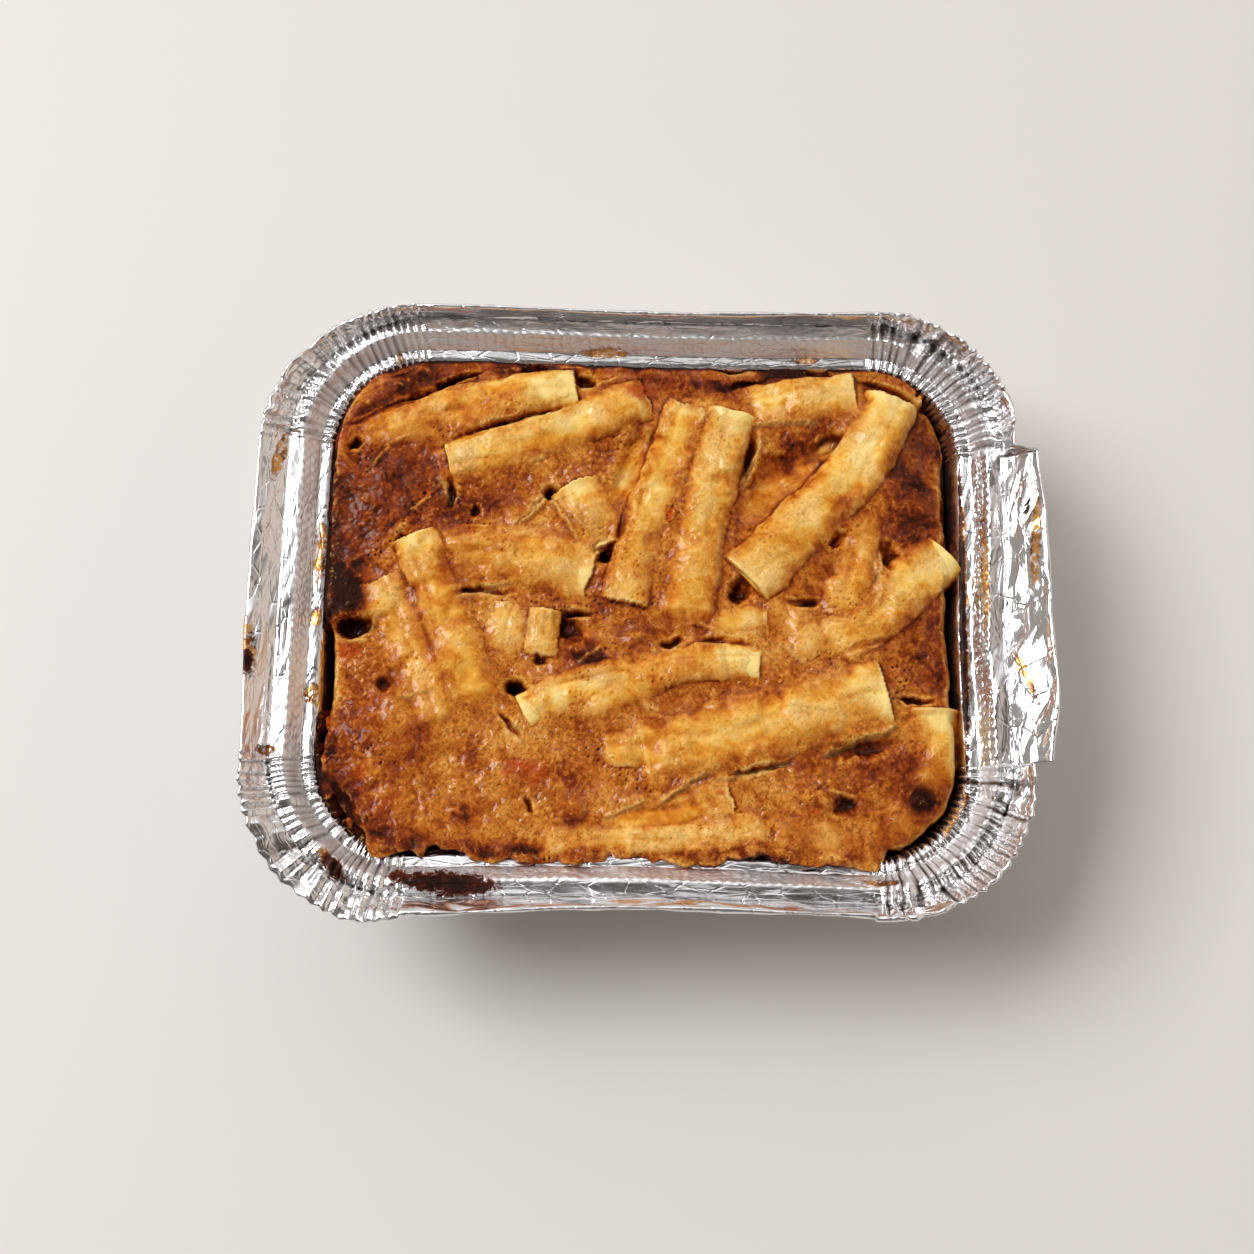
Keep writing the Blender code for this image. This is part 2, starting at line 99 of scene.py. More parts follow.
def noise(x, y, cell, seed):
    """Random values on a lattice of this cell, turned by the seed, blended by S-curves."""
    table = random_table(seed)
    turn = 0.7 + 1.3 * seed
    gx = (x * math.cos(turn) - y * math.sin(turn)) / cell + SHIFT
    gy = (x * math.sin(turn) + y * math.cos(turn)) / cell + SHIFT
    ix, iy = np.floor(gx).astype(int), np.floor(gy).astype(int)
    fx, fy = smooth(gx - ix), smooth(gy - iy)
    near = table[ix & 255, iy & 255] * (1 - fx) + table[(ix + 1) & 255, iy & 255] * fx
    far = table[ix & 255, (iy + 1) & 255] * (1 - fx) + table[(ix + 1) & 255, (iy + 1) & 255] * fx
    return near * (1 - fy) + far * fy


def fractal(x, y, cell, seed, octaves=4):
    """Sum of noises, each with half the cell and GAIN times the weight of the last; 0 to 1."""
    weights = GAIN ** np.arange(octaves)
    layers = [w * noise(x, y, cell / 2**k, seed + k) for k, w in enumerate(weights)]
    return sum(layers) / weights.sum()


def ridges(x, y, cell, seed, octaves=3):
    """Sum of 1 - |2n - 1| over noises n: thin crests where a noise crosses its middle."""
    weights = GAIN ** np.arange(octaves)
    layers = [w * (1 - np.abs(2 * noise(x, y, cell / 2**k, seed + k) - 1)) for k, w in enumerate(weights)]
    return sum(layers) / weights.sum()


def cells(x, y, cell, seed):
    """Distance to the nearest point of a jittered lattice, in cells."""
    table = random_table(seed)
    gx, gy = x / cell + SHIFT, y / cell + SHIFT
    ix, iy = np.floor(gx).astype(int), np.floor(gy).astype(int)
    nearest = np.full(np.shape(gx), 9.0)
    for dx in (-1, 0, 1):
        for dy in (-1, 0, 1):
            jx, jy = ix + dx, iy + dy
            px = jx + table[jx & 255, jy & 255]
            py = jy + table[(jy + 77) & 255, (jx + 31) & 255]
            nearest = np.minimum(nearest, np.hypot(gx - px, gy - py))
    return nearest


def facets(x, y, cell_x, cell_y, seed):
    """Random heights on a lattice of triangles, blended by straight lines: flat facets and sharp creases."""
    table = random_table(seed)
    gx = (x + LATTICE_BEND * cell_x * (noise(x, y, 2.3 * cell_x, seed + 1) - 0.5)) / cell_x + SHIFT
    gy = (y + LATTICE_BEND * cell_y * (noise(x, y, 2.3 * cell_x, seed + 2) - 0.5)) / cell_y + SHIFT
    ix, iy = np.floor(gx).astype(int), np.floor(gy).astype(int)
    fx, fy = gx - ix, gy - iy
    near, far = table[ix & 255, iy & 255], table[(ix + 1) & 255, (iy + 1) & 255]
    right, above = table[(ix + 1) & 255, iy & 255], table[ix & 255, (iy + 1) & 255]
    lower_half = near + (right - near) * fx + (far - right) * fy
    upper_half = near + (above - near) * fy + (far - above) * fx
    return np.where(fx > fy, lower_half, upper_half)


sample = fractal(np.arange(200.0), np.zeros(200), 9.0, 1)
print("a fractal noise runs from", round(sample.min(), 2), "to", round(sample.max(), 2))

# %% [markdown]
# ## From an array to a mesh
#
# A surface with two parameters is a grid of points. Each four neighbours make one
# face, and a grid that runs round, such as a tray's wall, joins its last column to
# its first. `foreach_set` hands the whole array to Blender in one call, which is
# far quicker than adding vertices one by one.

# %% A grid of points as a mesh object
def grid_faces(rows, columns, closed, first=0):
    """Corner numbers of the faces between neighbours; `closed` joins the last column to the first."""
    r = np.arange(rows - 1)[:, None]
    c = np.arange(columns if closed else columns - 1)[None, :]
    right = (c + 1) % columns
    corners = (r * columns + c, r * columns + right, (r + 1) * columns + right, (r + 1) * columns + c)
    return first + np.stack(corners, axis=-1).reshape(-1, 4)


def make_mesh(name, points, quads, others=()):
    """An object from points in millimetres, an array of quads and a list of other faces."""
    mesh = bpy.data.meshes.new(name)
    loops = [quads.ravel(), *[np.asarray(f) for f in others]]
    sizes = np.concatenate([np.full(len(quads), 4), [len(f) for f in others]]).astype(int)
    mesh.vertices.add(len(points))
    mesh.vertices.foreach_set("co", (points * MM).astype(np.float32).ravel())
    flat = np.concatenate(loops).astype(np.int32)
    mesh.loops.add(len(flat))
    mesh.loops.foreach_set("vertex_index", flat)
    mesh.polygons.add(len(sizes))
    mesh.polygons.foreach_set("loop_start", (np.cumsum(sizes) - sizes).astype(np.int32))
    mesh.update(calc_edges=True)
    mesh.validate()
    mesh.shade_smooth()
    obj = bpy.data.objects.new(name, mesh)
    bpy.context.scene.collection.objects.link(obj)
    return obj


def set_attribute(obj, name, values):
    """Stores one number for each vertex, for a material to read by name."""
    layer = obj.data.attributes.new(name, "FLOAT", "POINT")
    layer.data.foreach_set("value", np.asarray(values, np.float32).ravel())


def surface_normals(points, closed):
    """Unit normals of a grid: the cross product of the steps along its columns and rows."""
    along_rows = np.gradient(points, axis=0)
    if closed:
        along_columns = (np.roll(points, -1, axis=1) - np.roll(points, 1, axis=1)) / 2
    else:
        along_columns = np.gradient(points, axis=1)
    normal = np.cross(along_columns, along_rows)
    return normal / np.maximum(np.linalg.norm(normal, axis=-1, keepdims=True), 1e-9)


print("a closed grid of 3 rows and 4 columns has", len(grid_faces(3, 4, True)), "faces")

# %% [markdown]
# ## The foil's outline
#
# Every level of the tray is a rounded rectangle. A point on it is known by its
# zone, one of four sides and four corners, and by its share of the way along that
# zone. The same zones and shares are used at every level, so rows of points match
# from the base up to the lip. The corners have far more points than the sides,
# because that is where the sheet is gathered into pleats.

# %% Zones and shares of the way round
LEDGE = (70.5, 58.0, 27.0)
WALL_TOP = (61.9, 49.4, 18.4)
WALL_FOOT = (55.2, 42.7, 15.1)
BASE = (53.0, 40.5, 14.0)
SIGNS = np.array([(1, 1), (-1, 1), (-1, -1), (1, -1)], float)
ZONES = ["right", "back_right", "back", "back_left", "left", "front_left", "front", "front_right"]


def way_round(side_points, corner_points):
    """Zone number and share for each point of the way round, anticlockwise from the front right."""
    counts = [side_points if z % 2 == 0 else corner_points for z in range(8)]
    zone = np.repeat(np.arange(8), counts)
    share = np.concatenate([np.arange(n) / n for n in counts])
    return zone, share


def outline(shape, zone, share):
    """Rounded rectangle (half x, half y, radius): its corner's centre plus radius times direction."""
    half_x, half_y, radius = shape
    run = np.array([half_x - radius, half_y - radius])
    corner = zone // 2
    turned = zone % 2 == 1
    step = np.where(turned, 1.0, share)[:, None]
    centre = (SIGNS[corner - 1] * (1 - step) + SIGNS[corner] * step) * run
    facing = (corner + np.where(turned, share, 0.0)) * math.pi / 2
    direction = np.stack([np.cos(facing), np.sin(facing)], axis=-1)
    return centre + radius * direction, direction


print("the ledge is", 2 * LEDGE[0], "by", 2 * LEDGE[1], "mm")

# %% [markdown]
# ## The lip's lean
#
# Pressed trays leave the maker with the lip upright, ready to be folded over a
# card lid. Here most of it has been bent out by hand, a different amount at each
# side, with a sudden step where a side's lip meets a corner's. A short table of
# angles holds that, read along each zone.

# %% How far the lip leans out
LIP_LEAN = {
    "right": (50.0, 50.0, 50.0),
    "back_right": (5.0, 20.0, 18.0, 8.0, -8.0),
    "back": (-9.0, -12.0, -9.0),
    "back_left": (-8.0, 24.0, 42.0, 50.0, 48.0),
    "left": (54.0, 56.0, 38.0),
    "front_left": (36.0, 60.0, 84.0, 80.0, 38.0),
    "front": (30.0, 18.0, 17.0),
    "front_right": (22.0, 29.0, 39.0, 33.0, 22.0),
}


LIP_LENGTH = 5.9
# where the sheet was cut wider or narrower
LIP_LENGTHS = {
    "right": (7.8, 10.1, 9.4, 8.6, 7.3),
    "back_left": (5.4, 3.2, 3.8, 5.0, 5.9),
    "back_right": (5.8, 5.0, 5.0, 5.6),
}


def read_zones(tables, usual, zone, share):
    """Values read from each zone's own table, blended by S-curves between its entries."""
    values = np.zeros(len(zone))
    for number, name in enumerate(ZONES):
        here = zone == number
        table = np.array(tables.get(name, (usual, usual)))
        place = share[here] * (len(table) - 1)
        i = np.minimum(place.astype(int), len(table) - 2)
        values[here] = table[i] + (table[i + 1] - table[i]) * smooth(place - i)
    return values


def bow(points):
    """The dents of handling: above the middle of the wall the front and back bow in, the right a little."""
    x, y, z = points[..., 0], points[..., 1], points[..., 2]
    share = smooth((z - 24.0) / 12.0)
    front = smooth((-y - 40.0) / 12.0) * np.exp(-((x / 34.0) ** 2))
    back = smooth((y - 40.0) / 12.0) * np.exp(-(((x - 10.0) / 30.0) ** 2))
    right = smooth((x - 52.0) / 12.0) * np.exp(-(((y + 6.0) / 14.0) ** 2))
    return np.stack([x - 0.8 * right * share, y + (1.0 * front - 0.6 * back) * share, z], axis=-1)


leans = [angle for table in LIP_LEAN.values() for angle in table]
print("the lip leans out by", min(leans), "to", max(leans), "degrees")

# %% [markdown]
# ## Pleats and creases
#
# Foil can't stretch, so a pressed corner gathers into sharp folds, and every knock
# on a flat side leaves straight creases with flat facets between. Both are heights
# above the smooth sheet. A pleat is a zigzag along the corner. The creases are the
# triangle facets from above, far longer along the tray's edge than across it,
# because the sheet was pressed along that way.

# %% Heights of pleats and creases over the foil
def zigzag(phase):
    """Triangle wave from -1 to 1, one fold for each whole number of phase."""
    return 1.0 - 4.0 * np.abs(phase - np.floor(phase) - 0.5)


def pleat_phase(zone, share, count, seed):
    """`count` folds to a corner, unevenly spaced by a slow noise."""
    wander = noise(share * 9.0, zone * 7.0, 1.0, seed) - 0.5
    return share * count + 1.6 * wander


def corner_mask(zone, share, margin):
    """1 in a corner, fading to 0 at both of its ends."""
    return np.where(zone % 2 == 1, smooth(share / margin) * smooth((1.0 - share) / margin), 0.0)


print("one fold:", zigzag(np.linspace(0.0, 1.0, 5)))

# %% [markdown]
# ## The rim: wall top, shoulder, riser, ledge, lip and bead
#
# The rim is one sheet. Up to the ledge its rows are outlines at set heights; beyond
# it the lip is walked out from the ledge's edge, row by row, each step turned by
# the lean, and at the end the steps curl round into the rolled bead that keeps the
# edge from cutting fingers. Pleats and creases then push the sheet along its own
# normals, and a Solidify modifier gives it the thickness of foil.

# %% Walk the sheet from the wall to the bead
INNER_PLEATS, OUTER_PLEATS, FINE_PLEATS, WALL_PLEATS = 21, 15, 37, 27
RIM_START = 26.0
FOIL_THICKNESS = 0.13
LIP_STEPS = 14
BEAD_STEPS = 6
BEAD_STEP = 0.2604
BEAD_TURN = math.radians(215.0)
BOX_SLACK = 0.12
WALL_START, WALL_END = 2.45, 33.2
SHOULDER_Z, LEDGE_Z = 34.3, 37.5
SHOULDER_OUT, LEDGE_OUT = (1.3, 2.9), (5.6, 8.6)
RISER_OUT, RISER_Z = (3.1, 5.45), (34.55, 37.3)
zone, share = way_round(190, 150)
ledge_xy, direction = outline(LEDGE, zone, share)
step_xy = np.linalg.norm(np.roll(ledge_xy, -1, axis=0) - ledge_xy, axis=1)
way_mm = np.cumsum(step_xy)


def between(low, high, t):
    """Shape of a rounded rectangle a share t of the way from one to another."""
    return tuple(a + (b - a) * t for a, b in zip(low, high))


def grown(outset):
    """The wall's top outline, moved out."""
    return tuple(a + outset for a in WALL_TOP)


def wall_shape(z):
    """The wall's outline at a height."""
    return between(WALL_FOOT, WALL_TOP, (z - WALL_START) / (WALL_END - WALL_START))


def rim_rows():
    """Outline shape and height for each row up to the ledge's edge."""
    rows = [(wall_shape(z), z) for z in np.linspace(RIM_START, WALL_END, 7)]
    rows += [(grown(0.35), 33.8), (grown(0.8), 34.15)]
    rows += [(grown(out), SHOULDER_Z) for out in np.linspace(*SHOULDER_OUT, 6)]
    rows += [(grown(out), z) for out, z in zip(np.linspace(*RISER_OUT, 8), np.linspace(*RISER_Z, 8))]
    rows += [(grown(out), LEDGE_Z - 0.05 * (out < 5.7)) for out in np.linspace(*LEDGE_OUT, 8)]
    return rows


def row_points(rows, zone, share):
    """Points of every row: its outline's x and y, and its height."""
    return np.array([np.column_stack([outline(s, zone, share)[0], np.full(len(zone), z)]) for s, z in rows])


# how far the ledge rises for each millimetre outwards
LEDGE_TILTS = {
    "right": (-0.14, -0.14),
    "back_right": (-0.14, -0.08),
    "back": (-0.08, -0.08),
    "back_left": (-0.08, 0.0),
    "front_left": (0.0, -0.08),
    "front": (-0.08, -0.08),
    "front_right": (-0.08, -0.14),
}
rows = rim_rows()
lower = row_points(rows, zone, share)
lean = np.radians(read_zones(LIP_LEAN, 0.0, zone, share))
longer = read_zones(LIP_LENGTHS, LIP_LENGTH, zone, share) / LIP_LENGTH
lip_steps = np.repeat([LIP_LENGTH / LIP_STEPS, BEAD_STEP], [LIP_STEPS, BEAD_STEPS])
walked = np.cumsum(lip_steps)
stretch = np.where(np.arange(len(walked))[:, None] < LIP_STEPS, longer[None, :], 1.0)
bend = smooth(walked / 1.1)[:, None]
curled = np.clip((np.arange(len(walked)) - LIP_STEPS + 0.5) / (BEAD_STEPS - 0.5), 0.0, 1.0)
lip_angle = math.pi / 2 + (lean[None, :] - math.pi / 2) * bend + BEAD_TURN * curled[:, None]
scallop = 1.0 + 0.05 * corner_mask(zone, share, 0.1) * zigzag(pleat_phase(zone, share, OUTER_PLEATS, 41))
out = np.cumsum(lip_steps[:, None] * stretch * np.sin(lip_angle) * scallop, axis=0)
rise = np.cumsum(lip_steps[:, None] * stretch * np.cos(lip_angle) * scallop, axis=0)
lip = np.empty((len(walked), len(zone), 3))
lip[..., :2] = ledge_xy[None] + out[..., None] * direction[None]
lip[..., 2] = rows[-1][1] + rise
sheet = np.concatenate([lower, lip])
print("rim grid:", sheet.shape[:2])

# %% Fold and crease the rim
n_lower, n_rows = len(rows), len(sheet)
climb = np.linalg.norm(np.diff(sheet, axis=0), axis=-1).mean(axis=1)
v_mm = np.concatenate([[0.0], np.cumsum(climb)])
S, V = np.broadcast_arrays(way_mm[None, :], v_mm[:, None])
LIP_START = v_mm[n_lower - 1]
LEDGE_START = v_mm[n_lower - 8]
on_lip = smooth((V - LIP_START + 0.6) / 1.2)
on_ledge = smooth((V - LEDGE_START) / 1.0) * (1 - on_lip)
on_riser = (1 - smooth((V - LEDGE_START) / 0.8)) * smooth((V - LEDGE_START + 4.2) / 0.8)
at_bead = smooth((V - LIP_START - LIP_LENGTH + 0.4) / 0.6)
corners = corner_mask(zone, share, 0.06)[None, :]
sides = 1.0 - corners
uneven = 0.55 + 0.9 * noise(way_mm, 0 * way_mm, 3.1, 51)[None, :]
skew = 0.22 * (noise(S, V * 0, 14.0, 47) - 0.5) * V
inner_fold = zigzag(pleat_phase(zone, share, INNER_PLEATS, 40)[None, :] + skew) * uneven
outer_fold = zigzag(pleat_phase(zone, share, OUTER_PLEATS, 41)[None, :] + skew) * uneven
fine_fold = zigzag(pleat_phase(zone, share, FINE_PLEATS, 43)[None, :] + 1.6 * skew)
fold_length = smooth(noise(S, V, 3.6, 49) * 3.0 - 0.6)
pleats = corners * (
    inner_fold * (0.40 * (1 - on_lip) + 0.10) * (0.55 + 0.45 * fold_length)
    + fine_fold * 0.15 * (1 - at_bead) * smooth(noise(S, V, 2.6, 50) * 3.0 - 1.0)
    + (0.10 + 0.28 * on_lip) * (1 - 0.6 * at_bead) * outer_fold
)
fold_wander = 0.8 * (noise(S, V * 0, 7.0, 44) - 0.5)
crease_line = -0.55 * np.exp(-(((V - LIP_START + 0.3 + fold_wander) / 0.45) ** 2)) * corners
# how hard each side was knocked; corners take CORNER_KNOCKS
CORNER_KNOCKS = 0.6
SIDE_KNOCKS = {"right": 1.0, "back": 0.45, "left": 0.60, "front": 0.75}
KNOCKS_START, KNOCKS_FULL = 6.0, 11.0
knocked = np.array([SIDE_KNOCKS.get(name, CORNER_KNOCKS) for name in ZONES])[zone][None, :]
large = facets(S + 0.9 * V, V, 10.0, 3.2, 45) - 0.5
small = facets(S - 0.7 * V, V, 3.8, 1.5, 30) - 0.5
above_wall = 0.25 + 0.75 * smooth((V - KNOCKS_START) / (KNOCKS_FULL - KNOCKS_START))
creases = large * (0.5 + 1.5 * on_lip + 0.6 * on_ledge) + small * (0.45 + 0.4 * on_lip)
creases = creases * knocked * above_wall
grooves = sides * 0.20 * (ridges(S * 0.05, V, 1.9, 48, 2) - 0.5) * (0.35 + 0.65 * on_lip) * (1 - at_bead)
KNURL, KNURL_PITCH = 0.22, 1.9
knurl = sides * on_riser * KNURL * zigzag(S / KNURL_PITCH + 0.5) * smooth(0.7 + zigzag(V / KNURL_PITCH))
sheet[..., 2] += read_zones(LEDGE_TILTS, 0.0, zone, share) * np.clip(V - LEDGE_START, 0.0, 3.0)
normals = surface_normals(sheet, closed=True)
raised = pleats + crease_line + creases * (1 - 0.6 * at_bead) + grooves + knurl
seam = smooth(V / 3.0)
at_right = (zone == ZONES.index("right"))[None, :]
# the right riser is brighter than the others, and its lip is the least dull
RISER_RIGHT, LIP_RIGHT = 0.1, -0.34
dull = on_riser * np.where(at_right, RISER_RIGHT, 1.0) + LIP_RIGHT * on_lip * at_right
# painted shade and dark reflection: how dark each corner's pleat valleys are painted
VALLEY_SHADE = {"back_right": 0.75, "back_left": 0.4, "front_left": 0.7, "front_right": 1.2}
valley_share = np.array([VALLEY_SHADE.get(name, 0.0) for name in ZONES])[zone][None, :]
valley_shade_map = smooth((-pleats - 0.08) / 0.30) * corners * valley_share
rim_points = bow(sheet - normals * (raised * seam)[..., None])
box_low, box_high = np.array(cad_box) / MM
rim_points = np.clip(rim_points, box_low + BOX_SLACK, box_high - BOX_SLACK)
columns = len(zone)
foil_rim = make_mesh("foil_rim", rim_points[:n_lower].reshape(-1, 3), grid_faces(n_lower, columns, True))
lip_rows = n_rows - n_lower + 1
lip_points = rim_points[n_lower - 1 :].reshape(-1, 3)
foil_lip = make_mesh("foil_lip", lip_points, grid_faces(lip_rows, columns, True))
print("rim faces:", len(foil_rim.data.polygons), "lip faces:", len(foil_lip.data.polygons))


def thicken(obj):
    """Gives a sheet the thickness of foil, half to each side."""
    solid = obj.modifiers.new("foil_thickness", "SOLIDIFY")
    solid.thickness = FOIL_THICKNESS * MM
    solid.offset = 0.0


def mark_way(obj, way, up, dull, painted_shade):
    """Stores for the finish how far along the edge and up the sheet a point lies, how dull it is, and how
    much shade is painted into its pleat valleys.
    """
    set_attribute(obj, "fold", painted_shade)
    set_attribute(obj, "way", way)
    set_attribute(obj, "up", up)
    set_attribute(obj, "riser", dull)


for sheet_part, rows_of_part in ((foil_rim, slice(0, n_lower)), (foil_lip, slice(n_lower - 1, None))):
    thicken(sheet_part)
    mark_way(sheet_part, S[rows_of_part], V[rows_of_part], dull[rows_of_part], valley_shade_map[rows_of_part])

# %% [markdown]
# ## The tray's body
#
# Below the rim the foil is plainer: a flat base with a stamped ridge, a rounded
# foot and four sloping walls whose corners carry the pleats down. It is a sheet of
# its own only so that no mesh grows too large; its top row meets the rim's first
# one, point for point at every second point.

# %% Build the body
every_second = slice(None, None, 2)
BASE_Z = 0.1
FOOT_RADIUS = 2.2
# how far inside the base's edge, and height: the flat and its stamped ridge
BASE_PROFILE = (
    (30.0, BASE_Z), (9.0, BASE_Z), (8.0, BASE_Z), (7.3, 0.55),
    (6.6, 0.8), (5.9, 0.55), (5.2, BASE_Z), (2.5, BASE_Z),
)
zone_b, share_b, way_b = zone[every_second], share[every_second], way_mm[every_second]


def body_rows():
    """Outline shape and height of each row from the base's middle to the rim's first row."""
    rows = []
    for inset, z in BASE_PROFILE:
        rows.append(((BASE[0] - inset, BASE[1] - inset, max(BASE[2] - 0.4 * inset, 3.0)), z))
    for angle in np.radians((0.0, 20.0, 40.0, 58.0)):
        out = FOOT_RADIUS * math.sin(angle) - 0.6
        shape = (BASE[0] + out, BASE[1] + out, BASE[2] + 0.3 + out / 2)
        rows.append((shape, BASE_Z + FOOT_RADIUS * (1 - math.cos(angle))))
    return rows + [(wall_shape(z), z) for z in np.linspace(WALL_START, RIM_START, 18)]


rows_b = body_rows()
body = row_points(rows_b, zone_b, share_b)
level = body[..., 2]
up_wall = smooth((level - 4.0) / 24.0)
Sb = np.broadcast_to(way_b[None, :], level.shape)
uneven_b = 0.55 + 0.9 * noise(way_b, 0 * way_b, 3.1, 51)[None, :]
fold_b = zigzag(pleat_phase(zone_b, share_b, WALL_PLEATS, 40))[None, :] * uneven_b
wall_creases = (facets(Sb, level, 16.0, 7.0, 52) - 0.5) * 1.1 + (facets(Sb, level, 6.0, 3.0, 55) - 0.5) * 0.3
raised_b = corner_mask(zone_b, share_b, 0.06)[None, :] * fold_b * 0.34 * up_wall
raised_b = raised_b + wall_creases * smooth((level - 3.0) / 6.0) * smooth((RIM_START - level) / 12.0) * 0.8
body_points = bow(body - surface_normals(body, closed=True) * raised_b[..., None])
body_points[-1] = rim_points[0][every_second]
columns_b = len(zone_b)
body_quads = grid_faces(len(rows_b), columns_b, True)
foil_body = make_mesh("foil_body", body_points.reshape(-1, 3), body_quads, [np.arange(columns_b)[::-1]])
mark_way(foil_body, Sb, level - RIM_START, np.zeros(level.shape), np.zeros(level.shape))
print("body faces:", len(foil_body.data.polygons))

# %% [markdown]
# ## Where the penne lie
#
# Each tube is a line through a few places on the map of the bake, with short tables
# that are read along it: its width, the height of its top, and the share of cheese
# sauce over it. The tops are only two or three millimetres above the crust, because
# the sauce has filled the space between the tubes before it set.

# %% The penne, named by place
# places along the line, widths, heights of the top, share of sauce over it
PENNE = {
    "far_left": (
        ((-58, 32.5), (-47, 36.3), (-36, 39.6), (-25, 42.4), (-14.2, 44.2)),
        (8.4, 9.6, 8.2), (35.6, 37.0, 37.8), (1, 0.8, 0.7, 0.5, 0.2),
    ),
    "far_left_inner": (
        ((-39, 27.8), (-29, 30.7), (-18.5, 34.3), (-8.5, 38.8), (0, 42.4)),
        (9.4, 9.4), (37.0, 37.3), (0.2, 0.6, 0.7, 0.8),
    ),
    "under_far_left": (
        ((0.5, 36), (-4, 27), (-7, 18)),
        (9, 9), (33.6, 34.2), (0.6, 0.6),
    ),
    "left_of_pair": (
        ((8.6, 41.2), (5, 30), (1.7, 20), (-1.6, 9.5), (-3.8, -0.4)),
        (8.4, 8.8), (37.2, 37.0), (0.8, 0.6, 0.6, 0.4),
    ),
    "right_of_pair": (
        ((17.4, 39.4), (14.5, 29), (12, 19), (9.7, 9), (8.6, -4.8)),
        (9.2, 9.4, 11), (38.3, 37.8, 36.8), (0.1, 0.5, 0.6, 0.8, 1),
    ),
    "far_right": (
        ((19.8, 40.8), (30.5, 42.6), (41.8, 43.8)),
        (10.4, 10.4), (36.0, 37.6), (0.8, 0.6, 0.3),
    ),
    "under_far_right": (
        ((42, 34), (30, 26), (19, 17)),
        (12, 11), (33.0, 33.8), (0.7, 0.7),
    ),
    "diagonal": (
        ((49, 43), (46, 34.6), (39.4, 25), (31, 15.8), (25.4, 10), (20, 4.8)),
        (9.8, 11.4, 11.4), (38.3, 38.2), (0.4, 0.6, 0.6, 0.3),
    ),
    "right_end": (
        ((59.4, 11.4), (51.8, 4.2), (43.7, -3), (35.6, -8.6)),
        (10.2, 10), (36.0, 35.9), (0.1, 0.6, 0.8, 0.9),
    ),
    "right_short": (
        ((42.6, 19), (41.2, 8.6), (38.7, -2)),
        (8.2, 9.6), (35.4, 36.0), (0.8, 0.6, 0.7),
    ),
    "right_stub": (
        ((25, 1.2), (29, -4.6), (33.2, -10.4)),
        (8.8, 9), (35.3, 36.0), (0.5, 0.5, 0.8),
    ),
    "open_stub": (
        ((12, -4.8), (18, -4.6), (24.2, -4.2)),
        (7.2, 7.6), (35.6, 37.0), (1, 0.7, 0.0),
    ),
    "flat_left": (
        ((-40, 8), (-29, 8.8), (-19.5, 7.8), (-10.2, 5)),
        (12.4, 12.4), (36.0, 36.9), (0.9, 0.7, 0.4),
    ),
    "long_left": (
        ((-51.6, 3.6), (-47, -6), (-42.4, -15.8), (-37.6, -26)),
        (8.6, 9), (36.2, 36.0), (0.6, 0.6, 0.8, 1),
    ),
    "ridge_left": (
        ((-45.2, 12.4), (-41, 2.8), (-36.4, -8.4), (-31.2, -21.6)),
        (8.6, 10), (38.0, 37.0, 36.8), (0.2, 0.6, 0.7, 1),
    ),
    "thin_centre": (
        ((-22.6, -22.4), (-15.3, -18.7), (-7.6, -15.8), (-0.6, -14.4)),
        (7.2, 7.2), (36.9, 36.9), (0.1, 0.5, 0.8),
    ),
    "bent_centre": (
        ((22.6, -12.2), (13, -11.8), (5, -13.4), (-3, -17), (-12, -21.4)),
        (6.8, 7.8), (37.6, 37.0, 36.6), (0.1, 0.5, 0.7, 1),
    ),
    "broad_front": (
        ((47.2, -17.8), (34, -21), (21, -24.6), (8, -27.9), (-1, -30.4)),
        (13.6, 13.2), (37.4, 37.2, 36.2), (0.3, 0.7, 0.9, 1),
    ),
    "sunk_front": (
        ((-9, -29), (1, -28.8), (11, -28)),
        (7.4, 7.4), (35.8, 36.0), (0.9, 0.9),
    ),
    "right_front": (
        ((56.2, -19.8), (56.2, -28.3), (53.8, -36.8)),
        (10.2, 10), (35.8, 34.6), (0.3, 0.6, 0.9),
    ),
    "flap_front": (
        ((-9, -44.2), (3.8, -41.6), (17.4, -38.2)),
        (8.2, 8.4), (34.8, 35.3), (0.8, 0.6),
    ),
    "front_edge": (
        ((-19, -46.4), (-3.8, -46.6), (11.2, -45.6), (24.4, -43.4)),
        (6.2, 6.4), (35.3, 35.5), (0.9, 0.6, 0.7),
    ),
    "front_stub": (
        ((25.6, -44.6), (32, -45.4), (38.4, -44.8)),
        (6.6, 6.8), (35.0, 35.0), (0.7, 0.6),
    ),
    "corner_front": (
        ((30, -46.2), (43, -45), (53, -38.8)),
        (6.6, 6.8), (34.4, 33.6), (0.9, 0.9),
    ),
    "centre_hump": (
        ((-14, 24), (-10.8, 17.5), (-8, 11)),
        (10, 10), (36.4, 36.0), (0.5, 0.4),
    ),
    "upright_left": (
        ((-26.2, -0.8), (-26.4, -5.8), (-26.8, -10.6)),
        (7.2, 7), (35.9, 35.8), (0.6, 0.8),
    ),
    "upright_right": (
        ((-18.9, -2), (-19.3, -6.8), (-19.8, -11.6)),
        (6, 5.8), (36.6, 36.3), (0.3, 0.7),
    ),
}
FLATNESS = 0.74
WIDENING = 1.08
SQUARENESS = 2.3


def read_along(table, t):
    """A short table read at shares t of the way, with straight lines between its entries."""
    return np.interp(t, np.linspace(0.0, 1.0, len(table)), table)


